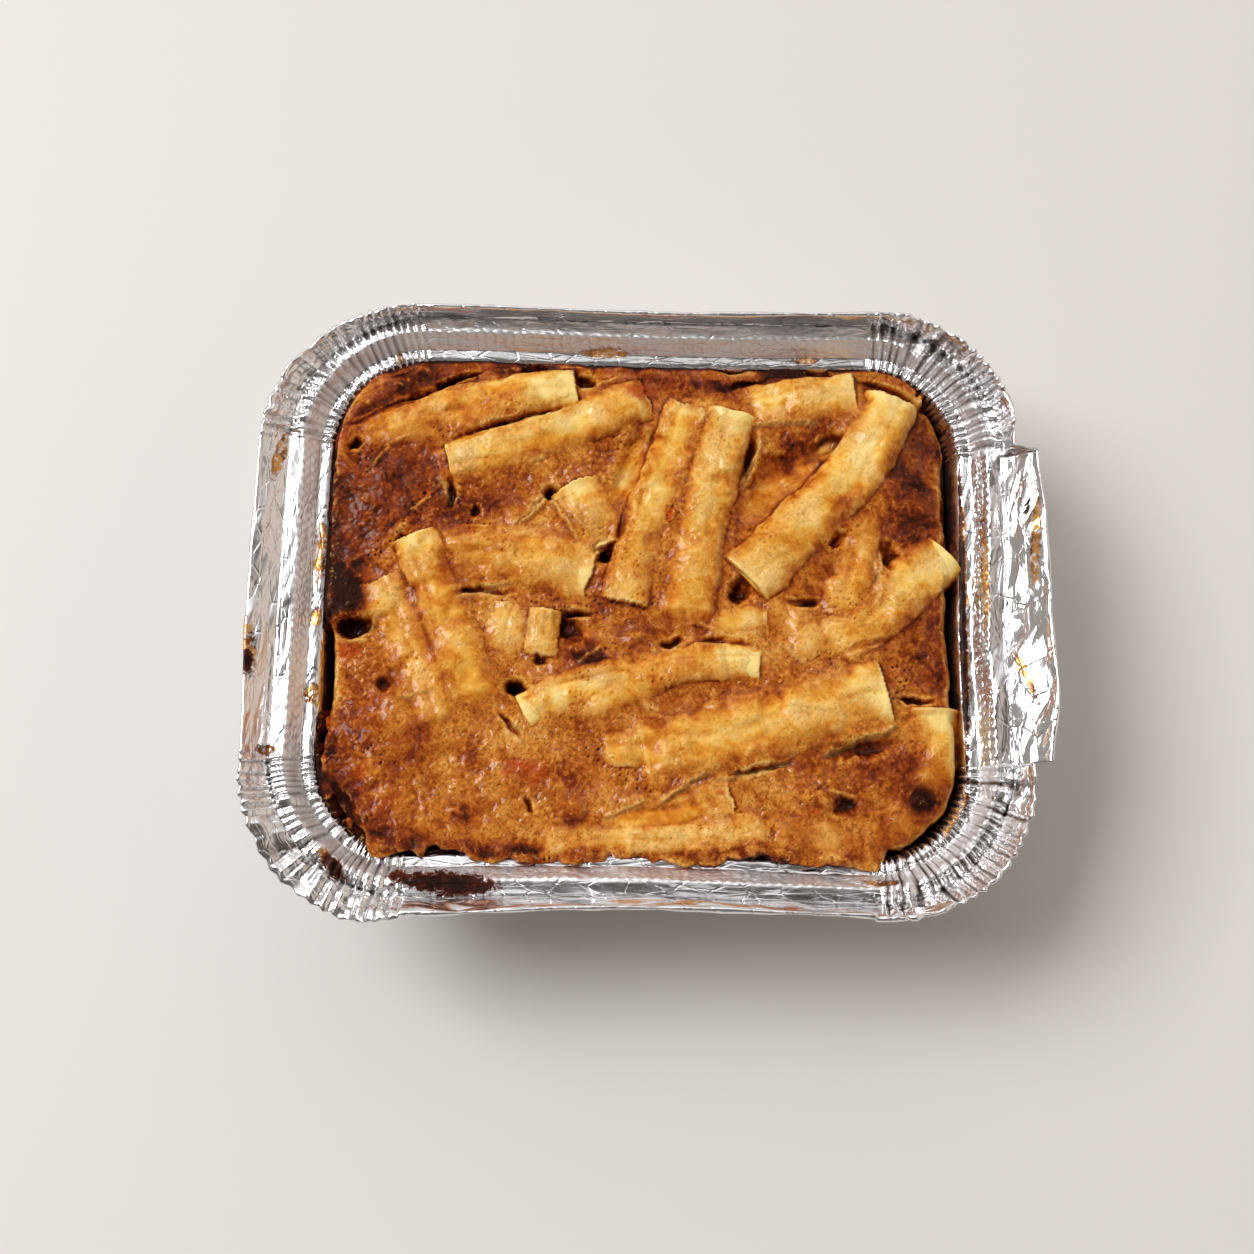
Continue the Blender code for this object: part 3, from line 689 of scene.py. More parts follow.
def tube_line(name, steps):
    """Centre line by a smooth curve through the places: points, directions, widths, share along."""
    places, widths, tops, _ = PENNE[name]
    plan = np.array(places, float)
    t = np.linspace(0.0, 1.0, steps)
    place = np.minimum(t * (len(plan) - 1), len(plan) - 1 - 1e-9)
    i = place.astype(int)
    u = (place - i)[:, None]
    before, after = plan[np.maximum(i - 1, 0)], plan[np.minimum(i + 2, len(plan) - 1)]
    start, end = plan[i], plan[i + 1]
    leave, arrive = (end - before) / 2, (after - start) / 2
    xy = start * (2 * u**3 - 3 * u**2 + 1) + leave * (u**3 - 2 * u**2 + u)
    xy = xy + end * (3 * u**2 - 2 * u**3) + arrive * (u**3 - u**2)
    width = WIDENING * read_along(widths, t)
    points = np.column_stack([xy, read_along(tops, t) - FLATNESS * width / 2])
    ahead = np.gradient(points, axis=0)
    return points, ahead / np.linalg.norm(ahead, axis=1, keepdims=True), width, t


def pasta_dents(x, y, number, across):
    """Height of the soft dents of boiled pasta, and of one shallow crease along each tube."""
    dents = 1.5 * (fractal(x, y, 7.0, 56, 3) - 0.5)
    wander = noise(x, y, 8.0, 57) - 0.5
    crease = -0.34 * np.exp(-(((across - 0.4 * np.sin(2.4 * number) - 0.5 * wander) / 0.14) ** 2))
    return dents + crease * smooth(noise(x, y, 7.0, 58) * 3.0 - 0.9)


print(len(PENNE), "penne")

# %% [markdown]
# ## The crust as a map of heights
#
# Seen from above the crust has one height at each place, so it is a function of x
# and y. It starts as a sunk plane with lumps. The tubes are laid into that, and the
# map of both, blurred, is the sauce that climbs up between them. Hollows and torn
# steps cut into it, and noise gives it pores, blisters and wrinkles.

# %% Lumps, hollows and torn steps of the crust
# x, y, height, reach in x, reach in y, turn in degrees
LUMPS = [
    (-48, -30, 1.3, 10, 16, 0), (-21, -35, 1.0, 9, 6, 0), (-11, -10.2, 1.8, 6.5, 2.6, -28),
    (-50, 22, 1.3, 8, 9, 0), (53.5, 21, 2.0, 6, 5, 0), (-12.6, -41.6, 1.9, 2.4, 2.2, 0),
    (-10, -50, 1.3, 3.4, 1.6, 0), (11.5, -49, 1.4, 3.2, 1.8, 0), (22, -49, 2.0, 3.0, 2.4, 0),
    (27.5, -49.6, 1.3, 2.4, 1.8, 0), (37, -49.8, 1.4, 3.2, 1.6, 0), (53.6, -37.6, 1.8, 2.4, 2.2, 0),
    (33.5, -37.8, 2.2, 4.4, 2.2, -20), (33, -43.6, 0.9, 3.4, 1.6, 0), (-60, -29, 1.5, 2, 2.4, 0),
    (5.2, 17.4, 2.4, 1.2, 1.7, 0), (-34.5, -42, 0.9, 2.4, 2, 0), (-1.5, 43.2, 1.5, 4, 2.4, 0),
    (-51, 43.6, 1.2, 9, 2.0, 34), (-8, 47.6, 1.6, 4, 1.2, 0), (8.5, 45.5, 1.6, 2, 3.2, 0),
    (-48, 13.4, 2.2, 4.6, 2.4, 50), (39, 16, 1.6, 1.2, 1.0, 0), (-21, -50, 1.0, 3, 1.4, 0),
    (-50, -48, 1.0, 4, 2.4, 0), (-17.6, -2.4, 1.0, 2.2, 2.0, 0), (-2, -7.4, 1.3, 2.4, 2.2, 0),
    (24, -6, 0.8, 5, 3, 0), (-60.5, 30, 1.4, 1.8, 3.2, 0), (13.6, 9.5, 1.1, 0.9, 6.5, -6),
    (-7.6, 5.6, 0.8, 1.4, 5.4, -14), (45, 24, 0.8, 2.0, 7, -38),
]
HOLLOWS = [
    (-56, -6, 5.5, 3.4, 2.0, 12), (-18.6, 22.2, 5.0, 1.4, 1.1, 30), (-7.6, 9.6, 4.6, 1.7, 1.9, 0),
    (-24, -18, 4.8, 1.7, 1.3, -20), (-14.4, -5.4, 3.2, 2.8, 2.8, 0), (-30, 35.2, 4.6, 9.0, 0.8, 21),
    (-18, 39.8, 3.6, 4.0, 0.9, 26), (29, 48.4, 5.0, 10, 1.3, 12), (-20, 47.9, 3.4, 6.4, 1.0, 0),
    (60.6, 8, 3.6, 1.4, 24, 2), (-2.8, 28, 3.4, 2.2, 7, -18), (27, 25, 3.6, 11, 4.6, 44),
    (42, -28.2, 1.9, 7, 1.6, 8), (5, -41.8, 1.8, 9, 1.8, 10), (-60.4, -16, 3.6, 1.0, 9, 2),
    (-57, -40.5, 2.0, 2.0, 7, 32), (31, 0.6, 2.8, 2.4, 0.8, 0), (16, -7.8, 2.4, 3.6, 0.7, -4),
    (-12.4, 46, 2.6, 2.0, 1.6, 0), (36.6, 33.4, 3.2, 3, 1.6, 20), (37.8, 13.2, 2.6, 1.8, 1.2, 30),
    (53, -18.4, 1.8, 3.0, 0.6, 0), (5.6, -8.6, 2.4, 1.8, 0.9, 20), (-12.6, -2.6, 2.2, 2.2, 0.6, 0),
    (-32, 1.4, 1.9, 5, 0.7, 4), (1.6, 33, 2.0, 1.2, 2.4, 0), (-4.4, 15, 2.2, 1.0, 4, -15),
    (23, -32.6, 2.4, 4.6, 0.6, 12), (20.4, 30, 3.2, 1.2, 5, -14), (39, -39.2, 1.8, 2.2, 1.6, 0),
    (-38.4, 21.4, 1.6, 0.8, 2.2, 0), (-49.4, -17.6, 1.4, 1.4, 1.6, 0), (-20, -12.2, 1.8, 1.2, 0.8, 0),
    (-39, 45.4, 2.6, 13, 0.7, 26), (19, 2.2, 3.4, 2.4, 2.0, 40), (60.8, -30, 2.6, 0.8, 8, 6),
    (-25.4, -25, 1.6, 2.6, 0.5, -50), (-47, 10.6, 2.4, 2.2, 1.2, 50), (48.4, 10, 2.2, 1.6, 3, 30),
    (43, -8, 1.3, 5, 0.6, 20), (-33.5, 17.5, 1.4, 1.1, 1.1, 0), (-57.6, 31.4, 2.0, 1.0, 1.0, 0),
    (-21, -40, 1.6, 0.7, 1.6, 20), (-49, 40, 1.6, 9, 0.6, 24),
]
# a torn step: the two ends of its line, and the height on its left side
TEARS = [
    ((4, -39.6), (13, -33.6), 1.5), ((-6, -43.2), (1, -39.4), 1.2), ((35, -29.6), (49, -24.4), 1.5),
    ((-46, -20.6), (-40, -19), 0.9), ((-25, 15), (-18, 22.6), 1.3), ((22, 36.2), (34, 37.2), 1.2),
    ((-54, -8.6), (-50.6, -3.6), 0.9), ((-22, -2), (-21, -9), 0.8), ((19.6, 24), (23.6, 33.5), 1.2),
    ((45, 9), (45.4, 0), 1.0), ((14, -35.6), (28, -31.6), 0.9), ((-9, 12.5), (-17, 21.5), 0.8),
    ((-41, 24.5), (-39, 20.0), 0.8), ((-36, -0.5), (-26, 3.0), 0.9), ((14.6, 3.6), (15.4, 15.0), 0.8),
    ((26, -8.4), (32, -12.0), 0.6),
]
# narrow raised strands of baked cheese: two ends, and height
STRANDS = [
    ((-18.6, 20.6), (-12.8, 12.2), 1.3), ((-24.4, 15.2), (-17, 23.2), 1.0),
    ((-54, 27), (-51, 30.6), 0.9), ((-41, 38), (-39.6, 39.8), 0.8), ((-27.4, 36.8), (-23.8, 37.7), 1.0),
    ((46.4, 10.4), (46.6, 6.6), 0.9), ((22, 33.8), (24.2, 31), 1.0), ((10.2, 36.4), (13.6, 41), 0.9),
    ((-45.8, 17.4), (-42.6, 20.4), 1.0), ((31.4, 0.2), (27.8, 1.6), 0.8), ((17, -7), (11, -4), 0.7),
    ((-8, -9), (-12, -12.4), 0.5), ((-52, 31), (-47, 33), 0.6), ((-58, -9.4), (-53, -8.6), 0.8),
    ((36, -36.4), (41, -37.6), 0.8), ((-13, 44), (-6, 47), 0.7),
]


def turned(x, y, place_x, place_y, degrees):
    """Coordinates along and across an axis turned by this angle, about a place."""
    c, s = math.cos(math.radians(degrees)), math.sin(math.radians(degrees))
    return (x - place_x) * c + (y - place_y) * s, (y - place_y) * c - (x - place_x) * s


def spots(x, y, table, power=1.0):
    """Sum of bell-shaped spots: amount times exp(-((along/reach)^2 + (across/reach)^2)^power)."""
    total = np.zeros(np.shape(x))
    for place_x, place_y, amount, reach_x, reach_y, degrees in table:
        along, across = turned(x, y, place_x, place_y, degrees)
        total += amount * np.exp(-(((along / reach_x) ** 2 + (across / reach_y) ** 2) ** power))
    return total


def line_frame(x, y, start, end):
    """For a straight line: distance along it, distance to its left, and its length."""
    start, end = np.array(start, float), np.array(end, float)
    length = np.linalg.norm(end - start)
    ahead = (end - start) / length
    along = (x - start[0]) * ahead[0] + (y - start[1]) * ahead[1]
    left = (y - start[1]) * ahead[0] - (x - start[0]) * ahead[1]
    return along, left, length


def torn_skin(x, y):
    """Steps at the tears and ridges at the strands, and how near each place is to such a thin edge."""
    ragged = 1.7 * (fractal(x, y, 2.2, 61, 4) - 0.5)
    height = np.zeros(np.shape(x))
    rim = np.zeros(np.shape(x))
    for start, end, lift in TEARS:
        along, left, length = line_frame(x, y, start, end)
        left = left + ragged
        near = smooth((along + 1.5) / 3.0) * smooth((length + 1.5 - along) / 3.0)
        height += 0.75 * lift * near * smooth(left / 0.6) * np.exp(-np.maximum(left, 0.0) / 3.5)
        rim += near * np.exp(-(((left - 0.25) / 0.4) ** 2))
    for start, end, lift in STRANDS:
        along, left, length = line_frame(x, y, start, end)
        inside_line = smooth((along + 0.5) / 1.0) * smooth((length + 0.5 - along) / 1.0)
        ridge = inside_line * np.exp(-(((left + 0.5 * ragged) / 0.42) ** 2))
        height += 0.6 * lift * ridge
        rim += 0.3 * ridge
    return height, np.minimum(rim, 1.0)


CRUST_LEVEL = 35.0


def plain_level(x, y):
    """The sauce without tubes: a plane that sinks to the right and to the back, with its lumps."""
    level = CRUST_LEVEL - 2.6 * smooth((x - 46.0) / 14.0) - 1.7 * smooth((y - 39.0) / 9.0)
    level = level - 2.2 * smooth((x + y - 74.0) / 24.0)
    wander_x = x + 1.4 * (noise(x, y, 3.0, 62) - 0.5)
    wander_y = y + 1.4 * (noise(x, y, 3.0, 63) - 0.5)
    return level + spots(wander_x, wander_y, LUMPS) + 1.3 * (fractal(x, y, 8.0, 64, 4) - 0.5)


print(len(LUMPS), "lumps,", len(HOLLOWS), "hollows,", len(TEARS), "tears,", len(STRANDS), "strands")

# %% Heights of the tubes over the map
NOWHERE = -99.0


def tube_field(x, y):
    """The highest tube at each place: its top or NOWHERE, the sauce over it, and 0 on the crown to 1 at the
    edge, which paints highlight and shade across the tube.
    """
    best = np.full(x.shape, NOWHERE)
    cover, flank = np.ones(x.shape), np.ones(x.shape)
    for number, (name, (_, widths, _, sauce)) in enumerate(PENNE.items()):
        points, ahead, width, t = tube_line(name, 70)
        reach = max(widths) / 2
        near = (x > points[:, 0].min() - reach) & (x < points[:, 0].max() + reach)
        near &= (y > points[:, 1].min() - reach) & (y < points[:, 1].max() + reach)
        px, py = x[near], y[near]
        away = (px[:, None] - points[None, :, 0]) ** 2 + (py[:, None] - points[None, :, 1]) ** 2
        k = np.argmin(away, axis=1)
        flat = ahead[:, :2] / np.linalg.norm(ahead[:, :2], axis=1, keepdims=True)
        step_x, step_y = px - points[k, 0], py - points[k, 1]
        across = (step_x * flat[k, 1] - step_y * flat[k, 0]) / (width[k] / 2)
        across = across * (1.0 + 0.34 * (fractal(px, py, 4.0, 53, 3) - 0.5))
        beyond = np.abs(step_x * flat[k, 0] + step_y * flat[k, 1]) * ((k == 0) | (k == len(t) - 1))
        arch = np.clip(1.0 - np.abs(across) ** SQUARENESS, 0.0, 1.0) ** (1 / SQUARENESS)
        rise = arch * FLATNESS * width[k] / 2
        over_it = read_along(sauce, t[k])
        length = np.linalg.norm(points[-1] - points[0])
        gone = t[k] * length + step_x * flat[k, 0] + step_y * flat[k, 1]
        from_end = np.minimum(gone, length - gone)
        dip = 2.4 * smooth((over_it - 0.5) / 0.4) * (1.0 - smooth(from_end / 4.0))
        top = points[k, 2] + rise + pasta_dents(px, py, number, across) - dip
        ragged_end = 3.0 * smooth((over_it - 0.2) / 0.4) * (fractal(px, py, 2.6, 54, 3) - 0.5)
        top = np.where((np.abs(across) < 1.0) & (beyond < 0.3) & (from_end > ragged_end), top, NOWHERE)
        higher = top > best[near]
        best[near] = np.where(higher, top, best[near])
        cover[near] = np.where(higher, over_it, cover[near])
        flank[near] = np.where(higher, np.minimum(np.abs(across), 1.0), flank[near])
    return best, cover, flank


def blurred(z, passes):
    """Mean with the four neighbours, this many times over."""
    for _ in range(passes):
        padded = np.pad(z, 1, mode="edge")
        z = (padded[:-2, 1:-1] + padded[2:, 1:-1] + padded[1:-1, :-2] + padded[1:-1, 2:] + z) / 5.0
    return z


print("widths along the first tube in mm:", tube_line(next(iter(PENNE)), 5)[2].round(1))

# %% [markdown]
# ## The bake's grid
#
# A plain rectangle of points would leave jagged edges in the tray's round corners.
# Each row is therefore squeezed to the width that the rounded outline has at its
# place on the map, so the grid's own border runs along the foil.

# %% Lay out the grid
BAKE_TOP = (61.3, 48.8, 17.8)
BAKE_FOOT = (53.2, 40.7, 13.4)
BAKE_FLOOR = 2.0
COLUMNS, ROWS = 477, 384


def half_width(y, shape):
    """Half the width of the rounded rectangle at this y."""
    half_x, half_y, radius = shape
    into_corner = np.clip(np.abs(y) - (half_y - radius), 0.0, radius)
    return half_x - radius + np.sqrt(radius**2 - into_corner**2)


def edge_distance(x, y, shape):
    """How far inside the rounded rectangle a point lies."""
    half_x, half_y, radius = shape
    qx, qy = np.abs(x) - (half_x - radius), np.abs(y) - (half_y - radius)
    outside = np.hypot(np.maximum(qx, 0.0), np.maximum(qy, 0.0))
    return radius - outside - np.minimum(np.maximum(qx, qy), 0.0)


print("bake grid:", ROWS, "rows of", COLUMNS, "points")
row_y = np.linspace(-1.0, 1.0, ROWS) * BAKE_TOP[1]
GX = np.linspace(-1.0, 1.0, COLUMNS)[None, :] * half_width(row_y, BAKE_TOP)[:, None]
GY = np.repeat(row_y[:, None], COLUMNS, axis=1)

# %% Let the crust's edge spill over the shoulder
inside = edge_distance(GX, GY, BAKE_TOP)
gap = 0.5 * smooth((noise(GX, GY, 9.0, 71) - 0.6) / 0.2) + 0.45 * smooth((GX - 50.0) / 8.0)
gap = gap + spots(GX, GY, [(-60, -16, 0.9, 3, 9, 0), (-55, -40, 0.5, 4, 7, 30), (-40, -49, 0.3, 9, 2, 0)])
gap = np.maximum(gap + 0.6 * (fractal(GX, GY, 2.4, 72, 2) - 0.5), 0.0)
push = 3.4 * smooth((-GY - 38.0) / 8.0) + 0.9 * smooth((-GX - 50.0) / 8.0) + 1.0 * smooth((GY - 38.0) / 8.0)
push = push * (0.25 + 0.9 * noise(GX, GY, 11.0, 78) + 0.7 * fractal(GX, GY, 3.0, 61, 3))
push = push * (1 - smooth(gap / 0.5))
probe = 0.05
out_x = edge_distance(GX - probe, GY, BAKE_TOP) - edge_distance(GX + probe, GY, BAKE_TOP)
out_y = edge_distance(GX, GY - probe, BAKE_TOP) - edge_distance(GX, GY + probe, BAKE_TOP)
reach_out = push * smooth(1.0 - inside / 5.0) / (2 * probe)
SX, SY = GX + out_x * reach_out, GY + out_y * reach_out
print("the edge spills out by up to", round(float(push.max()), 1), "mm")

# %% Find the height of the crust
tube_top, cover, flank = tube_field(SX, SY)
plain = plain_level(SX, SY)
FILL_PASSES, DRAPE_PASSES, HALO_PASSES = 110, 300, 160
filled = blurred(np.maximum(plain, tube_top), FILL_PASSES)
draped = np.maximum(filled - 0.30, blurred(filled, DRAPE_PASSES) + 0.25)
wander_x = SX + 1.6 * (fractal(SX, SY, 3.0, 59, 3) - 0.5)
wander_y = SY + 1.6 * (fractal(SX, SY, 3.0, 60, 3) - 0.5)
skin, rim = torn_skin(SX, SY)
base = np.maximum(plain, draped) - spots(wander_x, wander_y, HOLLOWS, 1.6) + skin
patches = fractal(GX, GY, 4.5, 65, 4)
film_share = smooth(0.5 + 2.0 * (cover - 0.45) + 2.6 * (patches - 0.5))
bare_end = smooth((0.35 - cover) / 0.2)
over = tube_top - 0.5 * bare_end + 0.35 * film_share
soft = 0.8 + 2.6 * smooth((noise(GX, GY, 5.0, 73) - 0.25) / 0.4) * (1 - bare_end)
pasta = np.clip(0.5 + 0.5 * (over - base) / soft, 0.0, 1.0)
crust_z = base * (1 - pasta) + over * pasta + soft * pasta * (1 - pasta)
halo = blurred(pasta, HALO_PASSES)
print("tubes show over", round(float(pasta.mean() * 100)), "percent of the bake")

# %% Browning, and shade painted into hollows, as a map
# x, y, amount, reach in x, reach in y, turn in degrees
# most spots brown the crust; those at (27, 25), (31, 31) and (1, 28) paint shade into the deep hollows there
BROWN_AND_SHADE = [
    (-57.5, 2, 0.54, 4.5, 8, 0), (-52, 22, 0.32, 12, 9, 0), (-61, 18, 0.22, 2.5, 18, 0),
    (-51, 42, 0.34, 12, 3.0, 38), (-36, 46.8, 0.30, 9, 2, 8), (-20, 47.6, 0.6, 6, 1.2, 0),
    (8, 46, 0.3, 10, 2.4, 0), (28, 48.6, 0.6, 11, 1.6, 14), (54, 22, 0.46, 6, 9, 0),
    (50, 14, 0.2, 4, 5, 0), (59, -8, 0.3, 3, 16, 0), (-60, -29, 0.6, 2.2, 2.6, 0),
    (-57, -39, 0.45, 4, 8, 30), (-47, -48, 0.4, 10, 2.6, 0), (-34, -42, 0.35, 2.2, 2, 0),
    (-27, -49.6, 0.45, 9, 2, 0), (-21, -50, 0.5, 3, 1.8, 0), (-12.8, -42, 0.45, 2.6, 2.0, 0),
    (-9.8, -50.2, 0.55, 3.4, 1.6, 0), (11.5, -49.8, 0.5, 3.4, 1.6, 0), (22, -49.4, 0.6, 3.2, 2.2, 0),
    (27.5, -50.4, 0.5, 2.6, 1.6, 0), (37, -50.4, 0.5, 3.4, 1.4, 0), (53.6, -37.6, 0.6, 2.4, 2.2, 0),
    (-11, -10.4, 0.4, 5.4, 2.4, -28), (-14.4, -5.4, 0.25, 2.8, 2.8, 0), (-24, -18, 0.3, 1.8, 1.6, 0),
    (-32, 20, 0.18, 6, 3, 0), (46, -31, 0.22, 8, 4, 0), (40, -39, 0.25, 3, 3, 0),
    (31, 0.6, 0.2, 5, 1.6, 0), (12, -3, 0.15, 3.5, 3, 0), (-7.4, 6, 0.2, 1.6, 6, -15),
    (2, -7, 0.15, 4, 3, 0), (27, 25, 0.36, 12, 5, 44), (-55, -20, 0.10, 5, 10, 0),
    (-48, -15, 0.25, 2.6, 3, 0), (-42, -27, 0.22, 2.4, 6, -20), (46, 46, 0.2, 3, 2, -30),
    (-26, -6, -0.25, 6, 7, 0), (-46, -24, -0.2, 2.4, 3, 0), (-22, -27, -0.18, 9, 5, 0),
    (25, -37, -0.15, 8, 4, 0), (57, 36, 0.2, 4, 6, 40), (33.5, -37.8, 0.3, 3.4, 1.2, -20),
    (-61.5, 6, 0.2, 1.6, 22, 0), (-34, -38, -0.10, 9, 7, 0), (55, -38, 0.28, 7, 8, 0),
    (55, -10, 0.15, 5, 8, 0), (-35, 17, 0.15, 5, 4, 0), (1, 28, 0.3, 2, 8, -16),
    (-4, -44, 0.1, 12, 2, 8), (-14, 12, -0.08, 5, 6, 0), (-20, 18, -0.1, 4, 3, 0),
    (36, -6, -0.12, 6, 4, 0), (-50, -34, 0.08, 10, 12, 0), (4, -46, -0.16, 26, 4, 0),
    (13, 2, 0.10, 6, 6, 0), (-58, -2, 0.2, 3, 5, 0), (-28, 40, 0.14, 14, 4, 12),
    (-25, 8, 0.14, 12, 5, 0), (-40, 0, 0.14, 5, 12, 20), (31, 31, 0.12, 6, 5, 0),
    (-8, -39, -0.08, 7, 5, 0), (-10, 18, 0.12, 4, 6, 20),
]
ORANGE = [
    (-1.6, 43.2, 1.0, 3.8, 2.2, 10), (5.2, 17.4, 0.9, 1.3, 1.8, 0), (-57, -11, 0.9, 3.4, 2.4, 0),
    (-53.4, -35, 0.7, 2.6, 3.4, 0), (-23, -33.4, 0.7, 5, 2.6, 0), (-12.4, -42, 0.6, 2.6, 1.8, 0),
    (-51, -20, 0.5, 4, 4, 0), (8, -26, 0.45, 4, 1.6, 0), (15, -37, 0.7, 2.4, 1.0, -40),
    (-28, -14, 0.5, 3, 1.2, 0), (-46, -28.4, 0.6, 4, 1.4, 0), (39, 16, 0.7, 1.2, 1, 0),
    (33, -40.4, 0.6, 2.2, 1.0, 0), (48.6, 45, 0.6, 2.4, 1.4, 0), (-54, 3, 0.6, 1.4, 3, 0),
    (-8, 48, 0.5, 4, 1.4, 0), (-35, 48, 0.5, 9, 1.5, 8), (-60.4, 32, 0.8, 2, 3.4, 0),
    (-43.6, 37.6, 0.5, 2, 1, 40), (-19.4, 7.2, 0.5, 1.4, 1.4, 0), (9, 40.6, 0.5, 2.4, 2.4, 0),
    (-10, -50.6, 0.5, 4, 1, 0), (36, 27, 0.2, 4, 3, 0), (32, 1, 0.5, 3.0, 1.0, 0),
    (-47, -40, 0.5, 5, 5, 0), (-20, -36, 0.4, 5, 4, 0), (30, -47, 0.4, 3, 2.4, 0),
    (22, -51, 0.6, 5, 1.2, 0), (12, -2.6, 0.6, 3, 1.6, 0), (-39.6, 24, 0.4, 1.4, 1.4, 0),
    (-60, -24, 0.5, 1.6, 6, 0), (-7.2, 7, 0.5, 1.2, 5, -14),
]


BROWN_GROUND, BROWN_CLOUDS = 0.38, 0.40


def browning_and_shade(x, y):
    """0 pale to 1 darkest: the spots above plus noise, over a middling ground; mostly browning, with a few
    spots of painted shade in hollows.
    """
    cloud = fractal(x, y, 5.0, 81, 4) - 0.5
    return BROWN_GROUND + spots(x, y, BROWN_AND_SHADE) + BROWN_CLOUDS * cloud


def orange_toast(x, y):
    """0 to 1: the orange spots, broken up by noise."""
    return np.clip(spots(x, y, ORANGE) * (0.4 + 1.2 * fractal(x, y, 2.2, 82, 3)), 0.0, 1.0)


brown = browning_and_shade(SX, SY)
orange = orange_toast(SX, SY)
print("browning from", round(float(brown.min()), 2), "to", round(float(brown.max()), 2))

# %% [markdown]
# ## Wrinkles, blisters and pores
#
# The finest shapes depend on what is beneath. Over pasta the film is nearly smooth.
# Between the tubes the crust is wrinkled, where it is browned most of all, and it
# has blisters, which are the tops of cells, and pores, which are pits at the points
# of another scatter. All of them are bent by a slow noise, so that no lattice shows.

# %% Add the fine relief and the edge along the foil
froth = (1.0 - pasta) + 0.55 * pasta * smooth((patches - 0.52) / 0.2)
dried = smooth((brown - 0.35) / 0.5)
wrinkle = ridges(wander_x, wander_y, 4.6, 66, 3) - 0.62
fibre = ridges(wander_x * 0.75 + wander_y * 0.5, wander_y * 0.5 - wander_x * 1.2, 3.2, 76, 3) - 0.62
relief = froth * (0.34 + 0.60 * dried) * wrinkle + froth * 0.34 * fibre
near_cell = cells(wander_x * 1.3, wander_y * 1.3, 1.9, 69)
blisters = smooth((noise(GX, GY, 7.0, 74) - 0.45) / 0.2) * smooth(1.0 - near_cell / 0.55)
near_pore = cells(GX + 0.5 * noise(GX, GY, 1.0, 68), GY, 1.7, 79)
pore_share = smooth((noise(GX, GY, 6.0, 70) - 0.74) / 0.15)
pores = pore_share * smooth(1.0 - near_pore / 0.20) * (0.35 + 0.65 * froth)
relief = relief + 0.16 * froth * blisters - 0.5 * pores
relief = relief + (0.02 + 0.05 * froth) * (fractal(GX, GY, 1.6, 67, 3) - 0.5)
crust_z = crust_z + relief
cliff = smooth(1.0 - (inside - gap) / 0.7)
rounded = smooth(1.0 - (inside - gap) / 2.2) ** 2
EDGE_DROP, SEAT_IN_TRAY, SEAT_ON_SHOULDER = 5.0, 28.2, 34.2
on_shoulder = smooth(push / 0.5) * smooth((3.2 - inside) / 1.2)
seat = SEAT_IN_TRAY + (SEAT_ON_SHOULDER - SEAT_IN_TRAY) * on_shoulder
crust_z = np.maximum(crust_z - rounded * (0.5 + noise(GX, GY, 4.0, 75)) - EDGE_DROP * cliff, seat)
WALL_LEAN = (WALL_TOP[0] - WALL_FOOT[0]) / (WALL_END - WALL_START)
WALL_ROOM = 0.35
room = WALL_TOP[0] - BAKE_TOP[0] + inside - push * smooth(1.0 - inside / 5.0)
pull = np.maximum((WALL_END - crust_z) * WALL_LEAN + WALL_ROOM - room, 0.0)
pull = pull * smooth((SHOULDER_Z - crust_z) / 0.5) / (2 * probe)
SX, SY = SX - out_x * pull, SY - out_y * pull
print("points drawn in from the wall:", int((pull > 0).sum()))
print("crust heights in mm:", round(crust_z.min(), 1), "to", round(crust_z.max(), 1))

# %% What the colours need to know at each point
AROUND_PASSES, FINE_PASSES = 260, 8
# painted shade: the next maps say how high a point lies against its surroundings, small and broad, and the
# finish paints the low places darker
fine = np.clip(0.5 + (crust_z - blurred(crust_z, FINE_PASSES)) * 1.7, 0.0, 1.0)
around = blurred(crust_z, AROUND_PASSES)
broad = np.clip(0.5 + (blurred(crust_z, 3) - around) / 4.0, 0.0, 1.0)
film_edge = np.exp(-(((film_share - 0.5) / 0.16) ** 2)) * pasta
rim = np.maximum(rim, 0.5 * film_edge * smooth((noise(GX, GY, 3.0, 77) - 0.4) / 0.3))
maps = {
    "pasta": pasta * (1.0 - 0.35 * froth * pasta),
    # browning, with painted shade in the pores, and darker where the crust drops at its edge against the foil
    "brown": brown + 0.35 * cliff + 0.2 * pores,
    "orange": orange,
    "fine": fine,
    "broad": broad * (1 - cliff),
    "rim": rim * (1 - cliff),
    "flank": flank,
    "film": np.maximum(film_share, 1 - pasta),
    "halo": halo,
}
for name, values in maps.items():
    print(name, "from", round(float(values.min()), 2), "to", round(float(values.max()), 2))

# %% [markdown]
# ## From the map to meshes
#
# The map has too many points for one piece, so it becomes a left and a right half.
# Both take their shading normals from the whole map, which hides the joint. A third
# piece carries the border down the foil wall and closes the bake underneath.

# %% The two halves of the crust
def map_normals(x, y, z):
    """Unit normals of the height map: slopes by rows and columns, turned upright."""
    grid = np.stack([x, y, z], axis=-1)
    normal = np.cross(np.gradient(grid, axis=1), np.gradient(grid, axis=0))
    return normal / np.linalg.norm(normal, axis=-1, keepdims=True)


crust_points = bow(np.stack([SX, SY, crust_z], axis=-1))
crust_normals = map_normals(SX, SY, crust_z)
MIDDLE = COLUMNS // 2


def crust_half(name, columns):
    """One half of the map as a mesh with its attributes."""
    part = crust_points[:, columns]
    count = part.shape[1]
    obj = make_mesh(name, part.reshape(-1, 3), grid_faces(ROWS, count, False))
    obj.data.normals_split_custom_set_from_vertices(crust_normals[:, columns].reshape(-1, 3))
    for key, values in maps.items():
        set_attribute(obj, key, values[:, columns])
    return obj


crust_left = crust_half("bake_crust_left", slice(0, MIDDLE + 1))
crust_right = crust_half("bake_crust_right", slice(MIDDLE, COLUMNS))
print("crust faces:", len(crust_left.data.polygons), "and", len(crust_right.data.polygons))

